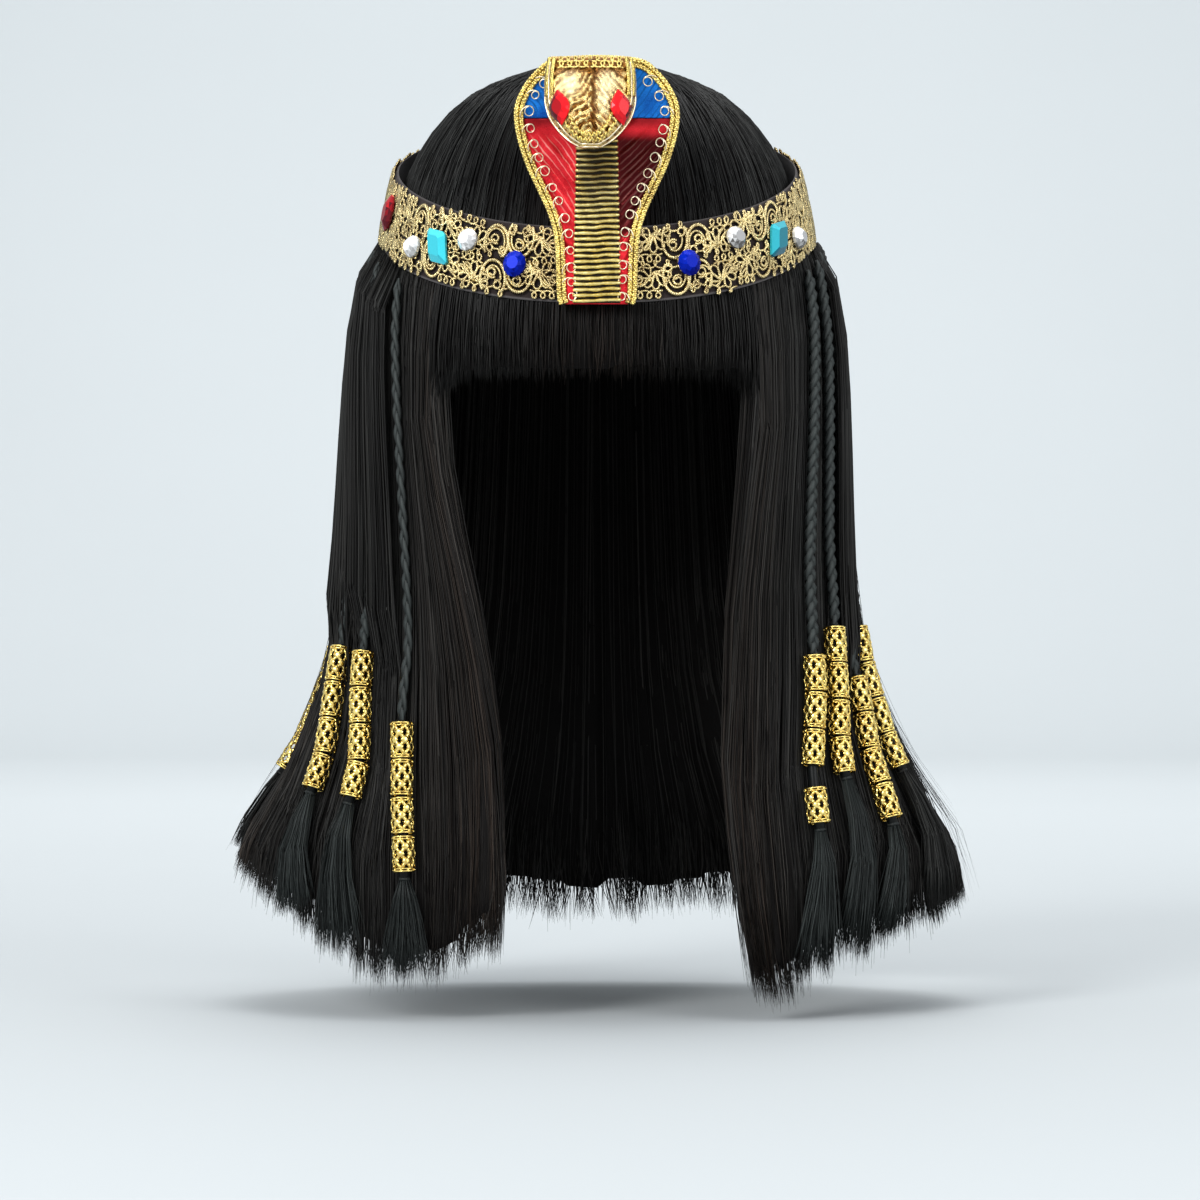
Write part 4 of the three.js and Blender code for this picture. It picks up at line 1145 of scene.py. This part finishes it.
def setStone(name, look, slot, triangles, place, axes, light, glint):
    basis = np.stack(axes)
    corners = triangles.reshape(-1, 3) @ basis + place
    stone = Heap().add((corners, (), np.arange(len(corners)).reshape(-1, 3)))
    mesh = stone.piece("cut_" + name, look, slot, [name], smooth=False).data
    mended(mesh, weld=True)
    facing = np.empty(len(mesh.polygons) * 3)
    mesh.polygons.foreach_get("normal", facing)
    facets, which = np.unique(np.round(facing.reshape(-1, 3) @ basis.T, 2), axis=0, return_inverse=True)
    scatter = dice.normal(0, stoneSetting["scatter"], len(facets))  # each facet has its own light
    # painted light: facets turned towards glint are lighter, and the table takes the stone's light
    paintedFacetLight = np.clip(light + facets[:, :2] @ glint + scatter, 0, 1)
    paintedFacetLight = np.where(facets[:, 2] > 0.99, light, paintedFacetLight)
    mesh.attributes.new("paintedFacetLight", "FLOAT", "FACE").data.foreach_set("value", paintedFacetLight[which.ravel()])


for name, look, slot, width, length, rise, left, right, above in stoneForm:
    for label, angle, light in (("left", -left[0], left[1]), ("right", *right)):
        out, up, around = hairFrame(angle, bandZ(angle) + above * bandSlope(angle))
        up = unit(up + out * bandLean(angle))
        axes = (around, up, np.cross(around, up))
        if name == "turquoise":
            skew = stoneSetting["skew"] * np.sign(angle)  # its sides follow the slope of the lace
            triangles = cutStone(baguette(width, length) @ [[1, skew], [skew, 1]], rise, 0.6, 2)
        else:
            triangles = cutStone(oval(width, length), rise, 0.5)
        place = onBand(angle, above, stoneSetting["height"])
        setStone(f"stone_{name}_{label}", look, slot, triangles, place, axes, light, stoneSetting["glint"])
print("stones done")


# cobra: hood, rim, ribbed belly, padded head

hoodForm = {
    "height": 94.8, "baseZ": -96.8, "thickness": 4.0, "lean": 9.0, "gap": 0.3,
    "rimLift": 0.7, "rimWidth": 4.0,
    "outline": [(0, 14.5), (4, 15.5), (24, 16.3), (34, 18.7), (42, 22.2), (53, 27.3), (64, 30.8), (74, 31.8),
                (82, 29), (89, 23.5), (93.5, 16.5), (94.8, 0.01)],  # height, half width
}
hoodTable, (hoodHalf,) = tableCurves(hoodForm["outline"])
laceFront = -onBand(0.0, -13.0, 3.3)[1]
hoodY = -(laceFront + hoodForm["rimLift"] + hoodForm["gap"])


def hoodPoint(x, height, forward):
    x, height, forward = np.broadcast_arrays(*[np.asarray(v, float) for v in (x, height, forward)])
    lean = hoodForm["lean"] * (height / hoodForm["height"]) ** 2
    return np.stack([x, hoodY - forward - lean, hoodForm["baseZ"] + height], -1)


def rimLine(inset, spacing):  # line along the hood's edge, a distance inside it
    side, top = hoodTable[:-1, ::-1], [[0, hoodForm["height"]]]
    points = np.concatenate([side * [-1, 1], top, side[::-1]])
    padded = np.concatenate([2 * points[:1] - points[1:2], points, 2 * points[-1:] - points[-2:-1]])
    t = np.linspace(0, 1, 24, endpoint=False)[:, None]
    parts = []
    for a, b, c, d in zip(padded, padded[1:], padded[2:], padded[3:]):
        bend = (2 * a - 5 * b + 4 * c - d) / 2 * t ** 2 + (3 * b - a - 3 * c + d) / 2 * t ** 3
        parts.append(b + (c - a) / 2 * t + bend)
    line = np.concatenate(parts + [points[-1:]])
    along = unit(np.gradient(line, axis=0))
    line = line + inset * np.stack([along[:, 1], -along[:, 0]], -1)
    return resample(np.column_stack([line, 0 * line[:, 0]]), spacing)


panelForm = {"columns": 51, "inset": 2.6, "widest": 31.0, "puff": 0.9, "sunk": 0.6,
             "folds": 0.6, "foldLightShade": 0.6}


def hoodPanel(name, look, slot, low, high, rows, node, folded):
    form = panelForm
    height = np.linspace(low, high, rows)[:, None]
    top = hoodForm["height"] - hoodForm["rimWidth"]
    narrowed = np.sqrt(np.clip(1 - np.clip((height - top + 3) / 4, 0, 1) ** 2, 0.2, 1))
    share = np.linspace(-1, 1, form["columns"])[None]
    x = np.minimum(hoodHalf(height) - form["inset"], form["widest"]) * narrowed * share
    aside, hand = np.abs(x), np.sign(x)
    # the unfolded cloth carries painted fold lines all over
    folds, dim, foldLightShade, slant = 0 * x, 0 * x, form["foldLightShade"] + 0 * x, 1.2 * aside - 0.9 * height
    if folded:  # the cloth is drawn slantwise from the rim down to the belly
        slant = height - 1.15 * aside + 2.5 * np.sin(height / 11 + hand)
        folds = 0.9 * np.sin(slant / 1.7 + hand) + 0.6 * np.sin(slant / 0.8 + height / 5 + hand)
        folds = folds * ease(7, 11, aside) * ease(2, 14, height) * (0.35 + 0.65 * ease(66, 58, height))
        # painted shade on the right half and the top strip, and painted highlight fold lines, mostly on the
        # left
        dim = ease(4, 9, x) * ease(67, 62, height) * ease(20, 30, height) + 0.6 * ease(66.5, 70, height)
        foldLightShade = ease(66, 60, height) * ease(26, 44, height) * np.where(x < 0, 0.7, 0.1) * ease(7, 10, aside)
    puff = form["puff"] * (1 - np.abs(share) ** 6)
    relief = puff + form["folds"] * folds * ease(1.0, 0.86, np.abs(share))
    front = hoodPoint(x, height, hoodForm["thickness"] - form["sunk"] + relief)
    back = hoodPoint(x, height, -0.2 * puff)
    marks = {"dim": dim, "foldLightShade": foldLightShade, "slant": slant}
    marks = {mark: np.tile(values.ravel(), 2) for mark, values in marks.items()}  # for both faces
    cloth = Heap().add(slab(front, back), **marks)
    cloth.piece(name, look, slot, [node], turnOut=True)


rimForm = {"outer": 0.5, "inner": 3.7, "step": 2.0, "back": -0.6, "front": 4.1, "cords": (1.05, 3.0),
           "cordStep": 0.55, "lay": 4.2, "sway": 0.52, "depth": 0.34, "cordFront": 4.35, "cord": 0.56,
           "shadow": [0, 0.3, 1, 1.2, 1, 0.3]}


def hoodRim():  # a flat core under two twisted cords
    form = rimForm
    outer, inner = [rimLine(form[edge], form["step"])[0] for edge in ("outer", "inner")]
    share = [np.linspace(0, 1, len(line)) for line in (outer, inner)]
    inner = np.stack([np.interp(*share, inner[:, k]) for k in range(2)], -1)
    corners = [(outer, "back"), (inner, "back"), (inner, "front"), (outer, "front")]
    core = np.stack([hoodPoint(line[:, 0], line[:, 1], form[face]) for line, face in corners], 1)
    # the core is painted in full shade
    heap = Heap().add(loft(core), along=0.0, dim=1.0)
    for inset in form["cords"]:
        line, at = rimLine(inset, form["cordStep"])
        tangent = unit(np.gradient(line, axis=0))
        inward = np.stack([tangent[:, 1], -tangent[:, 0]], -1)
        for k in range(3):
            phase = 2 * np.pi * (at / form["lay"] + k / 3)
            path = line[:, :2] + inward * (form["sway"] * np.sin(phase))[:, None]
            points = hoodPoint(path[:, 0], path[:, 1], form["cordFront"] + form["depth"] * np.sin(2 * phase))
            heap.add(tubes(points, form["cord"], toFront, 6), along=np.repeat(at, 6),
                     dim=np.tile(form["shadow"], len(at)))
    heap.piece("hoodBraid", "braidGold", "gold", ["hood_rim"], turnOut=True)


curlForm = {"inset": 5.9, "count": 15, "first": 5.0, "pitch": 6.1, "slip": 0.4, "size": (1.5, 1.95),
            "front": 5.3, "wire": 0.25}


def wireLoops():  # open curls of fine wire along the inside of the rim
    form = curlForm
    heap = Heap()
    line, at = rimLine(form["inset"], 0.5)
    tangent = unit(np.gradient(line, axis=0))[:, :2]
    turn = np.linspace(-1.9, 2 * np.pi + 0.3, 30)
    for side, _ in bothSides:
        for n in range(form["count"]):
            run = (form["first"] + n * form["pitch"] + dice.normal(0, form["slip"])) / at[-1]
            i = int((run if side < 0 else 1 - run) * (len(line) - 1))
            along = -side * tangent[i]
            outward = np.array([-tangent[i][1], tangent[i][0]])
            size = dice.uniform(*form["size"]) * np.where(turn < 0, 1 + 0.35 * turn ** 2, 1 - 0.02 * turn)
            lean = (turn + dice.uniform(-0.5, 0.3))[:, None]
            flat = line[i, :2] + size[:, None] * (np.cos(lean) * along - np.sin(lean) * outward * 0.95)
            curl = hoodPoint(flat[:, 0], flat[:, 1], form["front"] + 0.25 * np.cos(turn))
            heap.add(tubes(curl, form["wire"], toFront, 5))
    heap.piece("wireLoops", "wire", "gold")


bellyForm = {"top": 66.0, "foot": 0.6, "footHalf": 9.0, "neckHalf": 7.7, "back": 4.35, "front": 5.0,
             "rungs": 30, "firstRung": 1.6, "rungFront": 5.15, "rung": 0.72, "overhang": 0.25}


def belly():
    form = bellyForm

    def halfAt(height):
        return form["footHalf"] + (form["neckHalf"] - form["footHalf"]) * height / form["top"]
    height = np.linspace(form["foot"], form["top"], 24)[:, None]
    x = halfAt(height) * np.linspace(-1, 1, 9)[None]
    strip = Heap().add(slab(hoodPoint(x, height, form["front"]), hoodPoint(x, height, form["back"])), dim=0.0)
    strip.piece("bellyBacking", "backing", "gold_cloth", turnOut=True)
    heap = Heap()
    pitch = (form["top"] - 2 * form["foot"]) / form["rungs"]
    t = np.linspace(-1, 1, 15)
    for n in range(form["rungs"]):
        level = form["firstRung"] + n * pitch
        kink = 0.22 * np.tanh((t - dice.uniform(0.0, 0.2)) * 7) + 0.07 * np.sin(6 * t + dice.uniform(0, 6))
        x, arch = (halfAt(level) + form["overhang"]) * t, 0.25 * (1 - t ** 4)
        path = hoodPoint(x, level + kink, form["rungFront"] + arch)
        size = form["rung"] * (1 + 0.12 * np.sin(9 * t + n))
        shadow = 0.85 * ease(26, 52, level) * (0.75 + 0.25 * np.cos(np.pi * t))
        heap.add(tubes(path, size[None], toFront, 6, flat=1.25), dim=np.repeat(shadow, 6))
    heap.piece("bellyRungs", "rungGold", "gold_cloth", ["hood_belly"])


headForm = {
    "rows": [(93.4, 16, 7, 2), (89.5, 16.8, 13, 0.6), (83, 17.4, 18, 0.6), (76.5, 17.4, 21.5, 0.8),
             (71, 16.2, 23.5, 2.5), (65.4, 12.9, 24.6, 8), (60.8, 8.4, 23.5, 14),
             (57.6, 3.2, 22, 18)],  # height, half width, reach of the face, reach of the throat
    "bulge": 0.45, "across": -2.5, "ridge": 1.5, "crush": 0.55, "grid": (96, 80),
    "folds": (6.0, 3.6, 2.6, 1.9), "fold": 0.18,
}
headTable, (headHalf, headFace, headThroat) = tableCurves(headForm["rows"])
headTop, headFoot = headTable[0, 0], headTable[-1, 0]
headBase = hoodForm["thickness"] + hoodForm["rimLift"] + hoodForm["gap"]


def headPoint(x, height, bulge, lift):
    forward = headThroat(height) + (headFace(height) - headThroat(height)) * bulge
    return hoodPoint(headForm["across"] + x, height, headBase + forward + lift)


def facePoint(x, height, lift=0.0):
    bulge = np.clip(1 - (x / headHalf(height)) ** 2, 0, 1) ** (headForm["bulge"] / 2)
    return headPoint(x, height, bulge, lift)


def crushed(x, height):  # gathered cloth: pleats that fall away from the middle ridge, broken up at random
    pleats = height + 1.1 * np.abs(x) + 1.5 * np.sin(x / 2.3 + height / 5.1)
    rough = 0.75 * np.sin(pleats * 1.9) + 0.35 * np.sin(pleats * 3.7 + x)
    for size in headForm["folds"]:
        for _ in range(3):
            heading, phase = dice.uniform(0, 2 * np.pi, 2)
            across = x * np.cos(heading) + height * np.sin(heading)
            rough = rough + headForm["fold"] * np.sin(across * 6.3 / size + phase)
    return rough


def cobraHead():
    rows, columns = headForm["grid"]
    height = np.linspace(headTop, headFoot, rows)[:, None]
    turn = np.linspace(0, np.pi, columns)[None]
    x = -headHalf(height) * np.cos(turn)
    inside = np.sin(turn) ** 0.5 * ease(headFoot, headFoot + 4, height) * ease(headTop, headTop - 2, height)
    middle, aboveMouth = x - 0.4 * np.sin(height * 0.9), ease(62, 66, height)
    ridge = hump(middle, 0, 0.8) * (1 + 0.25 * np.sin(height * 2.1)) - 0.8 * hump(middle, 1.7, 0.8)
    ridge = headForm["ridge"] * ridge * aboveMouth
    smoothPaintedHighlight = hump(np.abs(x + 0.6), 7.2, 3.4) * hump(height, 82, 4.2)  # smooth cloth over the brow, with a painted highlight
    smoothPaintedHighlight = np.maximum(smoothPaintedHighlight, 0.7 * hump(x, 5, 2.6) * hump(height, 76, 6))
    dents = crushed(x, height) * (1 - 0.6 * smoothPaintedHighlight)
    relief = (ridge + headForm["crush"] * dents) * inside
    front = headPoint(x, height, np.sin(turn) ** headForm["bulge"], relief)
    inner = x[:, 1:-1][:, ::-1]
    back = headPoint(inner, height, 0.0, 0.0)
    # painted shade in the dents and a painted shadow beside the ridge, darker across the top rows, and less
    # under the painted highlight
    paintedShadeAndTopBand = (np.clip(0.15 - dents * 0.8, 0, 1) + 0.8 * ease(84.5, 88, height)) * inside
    paintedShadeAndTopBand = paintedShadeAndTopBand + 0.9 * hump(middle, 1.5, 0.7) * aboveMouth
    marks = {"paintedShadeAndTopBand": np.clip(paintedShadeAndTopBand - 0.6 * smoothPaintedHighlight, 0, 1), "smoothPaintedHighlight": np.clip(smoothPaintedHighlight, 0, 1)}
    for name, value in marks.items():  # none on the back and the two end points
        marks[name] = np.append(np.concatenate([value, 0 * inner], 1).ravel(), [0, 0])
    head = Heap().add(loft(np.concatenate([front, back], 1)), **marks)
    head.piece("cobraHead", "sequin", "gold_cloth", ["snake_head"], turnOut=True)


trimForm = {
    "cheek": (92.8, 78.0), "cheekShares": (0.955, 0.84), "cheekCord": 0.5, "steps": 80, "lay": 9,
    "crownRows": [(91.9, 1.1, 9), (89.6, 1.3, 8)],  # height, size, loops
    "crownReach": 12.5, "crownCord": 0.4,
    "jawRows": [(0.74, 0.8), (0.6, -0.7)],  # share of the reach, zigzag
    "jawReach": 15.5, "jawCord": 0.42, "jawSteps": 160,
}


def headTrim():  # braid down both cheeks, looped cord over the crown, zigzag cord inside the jaw
    form = trimForm
    heap = Heap()

    def cord(path, radius, pitch):
        heap.add(tubes(path, radius, toFront, 5), along=np.repeat(np.arange(len(path)) * pitch, 5))
    steps = form["steps"]
    down = np.linspace(*form["cheek"], steps)
    reach = headHalf(down)
    for side, _ in bothSides:
        for share in form["cheekShares"]:
            for k in range(2):
                phase = 2 * np.pi * (np.arange(steps) / form["lay"] + k / 2)
                x = side * np.clip(reach * share + 0.45 * np.sin(phase), 0, reach * 0.99)
                path = facePoint(x, down, 0.35) + toFront * (0.3 * np.cos(phase))[:, None]
                cord(path, form["cheekCord"] * np.linspace(1, 0.7, steps), 0.4)
    for level, size, count in form["crownRows"]:
        line = loops(-form["crownReach"], form["crownReach"], level, size, count)
        cord(facePoint(line[:, 0], line[:, 1], 0.4), form["crownCord"], 0.6)
    t = np.linspace(-1, 1, form["jawSteps"])
    for share, wave in form["jawRows"]:
        level = headFoot + 2.6 + 11 * t ** 2 + (form["jawRows"][0][0] - share) * 14
        x = share * form["jawReach"] * np.sign(t) * np.abs(t) ** 0.8
        cord(facePoint(x, level + wave * np.sin(46 * t), 0.55), form["jawCord"], 0.3)
    heap.piece("headTrim", "braidGold", "gold")


jawForm = {"rows": [(0.985, 0.35), (0.9, 0.4)], "top": 90.0, "wire": 0.36, "step": 12.0}  # share, lift


def jawWire():  # pale wire round the outline of the head
    heap = Heap()
    low = headFoot + 0.3
    side = low + 0.2 + (jawForm["top"] - low - 0.2) * np.linspace(1, 0, 90) ** 1.6
    foot = np.linspace(-1, 1, 12)[1:-1]
    height = np.concatenate([side, np.full(len(foot), low), side[::-1]])
    outline = np.concatenate([-headHalf(side), foot * headHalf(low), headHalf(side)[::-1]])
    for share, lift in jawForm["rows"]:
        path = facePoint(outline * share, height + (jawForm["rows"][0][0] - share) * jawForm["step"], lift)
        heap.add(tubes(path, jawForm["wire"], toFront, 5))
    heap.piece("jawWire", "wire", "gold")


eyeForm = {"length": 13.8, "width": 8.8, "height": 2.6, "across": 11.0, "up": 72.6, "lift": 0.75, "step": 1.5,
           "tilt": {"left": 10, "right": 8},
           "light": {"left": (0.42, (1.1, 0.2)), "right": (0.6, (-0.6, 0.5))}}


def navette(width, length, steps=6):
    along = np.arange(steps) / steps
    side = np.column_stack([width / 2 * np.sin(np.pi * along), length * (along - 0.5)])
    return np.concatenate([side, -side])


def cobraEyes():
    form = eyeForm
    up, step = form["up"], form["step"]
    triangles = cutStone(navette(form["width"], form["length"]), form["height"], 0.5)
    for side, name in bothSides:
        label, x = name.lower(), side * form["across"]
        tilt, (light, glint) = np.radians(form["tilt"][label]), form["light"][label]
        sideways = unit(facePoint(x + step, up) - facePoint(x - step, up))
        upward = unit(facePoint(x, up + step) - facePoint(x, up - step))
        out = unit(np.cross(sideways, upward))
        upward = np.cross(out, sideways)
        c, s = np.cos(tilt), np.sin(tilt)
        axes = (c * sideways + s * upward, c * upward - s * sideways, out)
        place = facePoint(x, up) + out * form["lift"]
        setStone("eye_" + label, "redGlass", "red_glass", triangles, place, axes, light, glint)


hoodPanel("redPanel", "red", "red_cloth", 0.4, 70.9, 110, "hood_red", True)
hoodPanel("bluePanel", "blue", "blue_cloth", 71.2, 91.4, 24, "hood_blue", False)
hoodRim()
wireLoops()
belly()
cobraHead()
headTrim()
jawWire()
cobraEyes()
print("cobra done")


# floor, light and camera

studio = {
    "floorDrop": 3.0, "floorReach": 8000.0, "floorDepth": 20.0,
    "bend": 1000.0, "wallY": 3800.0, "wallTop": 3600.0,
    "tone": (0.5, 0.53, 0.54), "sky": (0.93, 0.96, 1.0, 1.0), "skyLight": 0.92,
    "lights": [  # name, place, aim, size, power
        ("keyLight", (-1.2, -1.8, 0.9), (0, 0, -0.15), 0.9, 34),
        ("fillLight", (1.5, -1.5, 0.4), (0, 0, -0.15), 1.2, 16),
        ("topLight", (0.1, 0.2, 1.7), (0, 0, -0.1), 1.2, 14),
        ("backdropLight", (0, 1.6, 1.9), (0, 3.8, 0.1), 1.6, 44),
    ],
    "lens": 131.7, "sensor": 36.0, "camera": (0.0012, -1.8, -0.210),
}


def studioFloor():
    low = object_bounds()[0][2] / mm - studio["floorDrop"]
    reach, bend, wallY = studio["floorReach"], studio["bend"], studio["wallY"]
    profile = [(-reach, 0.0), (-900.0, 0.0), (900.0, 0.0)]
    curve = np.linspace(0, np.pi / 2, 13)
    profile += [(wallY - bend + bend * np.sin(b), bend - bend * np.cos(b)) for b in curve]
    y, z = np.array(profile + [(wallY, studio["wallTop"])]).T
    across = (-reach, -800, 0, 800, reach)
    front = np.stack([np.column_stack([np.full(len(y), x), y, z + low]) for x in across], 1)
    points, quads, _ = slab(front, front + studio["floorDepth"] * np.array([0, 1.0, -1.0]))
    mesh = bpy.data.meshes.new("studioFloor")
    mesh.from_pydata(points * mm, [], quads.tolist())
    look = Look("paleFloor", Roughness=0.75, Specular_IOR_Level=0.2)
    paler = tuple(v * 1.04 for v in studio["tone"])
    look.set(Base_Color=look.blend(look.noise(2.0), studio["tone"], paler))
    mesh.materials.append(look.material)
    mesh.polygons.foreach_set("use_smooth", np.full(len(mesh.polygons), True))
    linkedObject("studioFloor", mesh)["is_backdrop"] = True


def softLight(name, place, aim, size, power):
    lamp = bpy.data.lights.new(name, "AREA")
    lamp.shape, lamp.size, lamp.energy = "DISK", size, power
    obj = linkedObject(name, lamp)
    obj.location = place
    obj.rotation_euler = (Vector(aim) - Vector(place)).to_track_quat("-Z", "Y").to_euler()


visualBox = [list(corner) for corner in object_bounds()]
studioFloor()
for light in studio["lights"]:
    softLight(*light)
world = bpy.data.worlds.new("studioSky")
world.use_nodes = True
sky = world.node_tree.nodes["Background"].inputs
sky[0].default_value, sky[1].default_value = studio["sky"], studio["skyLight"]
bpy.context.scene.world = world
bpy.context.scene.view_settings.view_transform = "Standard"

camera = bpy.data.cameras.new("photoCamera")
camera.lens, camera.sensor_width = studio["lens"], studio["sensor"]
cameraObject = linkedObject("photoCamera", camera)
cameraObject.location = studio["camera"]
cameraObject.rotation_euler = (np.pi / 2, 0, 0)
bpy.context.scene.camera = cameraObject
print("studio done")

print("sizes", [[round(v, 4) for v in c] for c in cadBox], [[round(v, 4) for v in c] for c in visualBox])
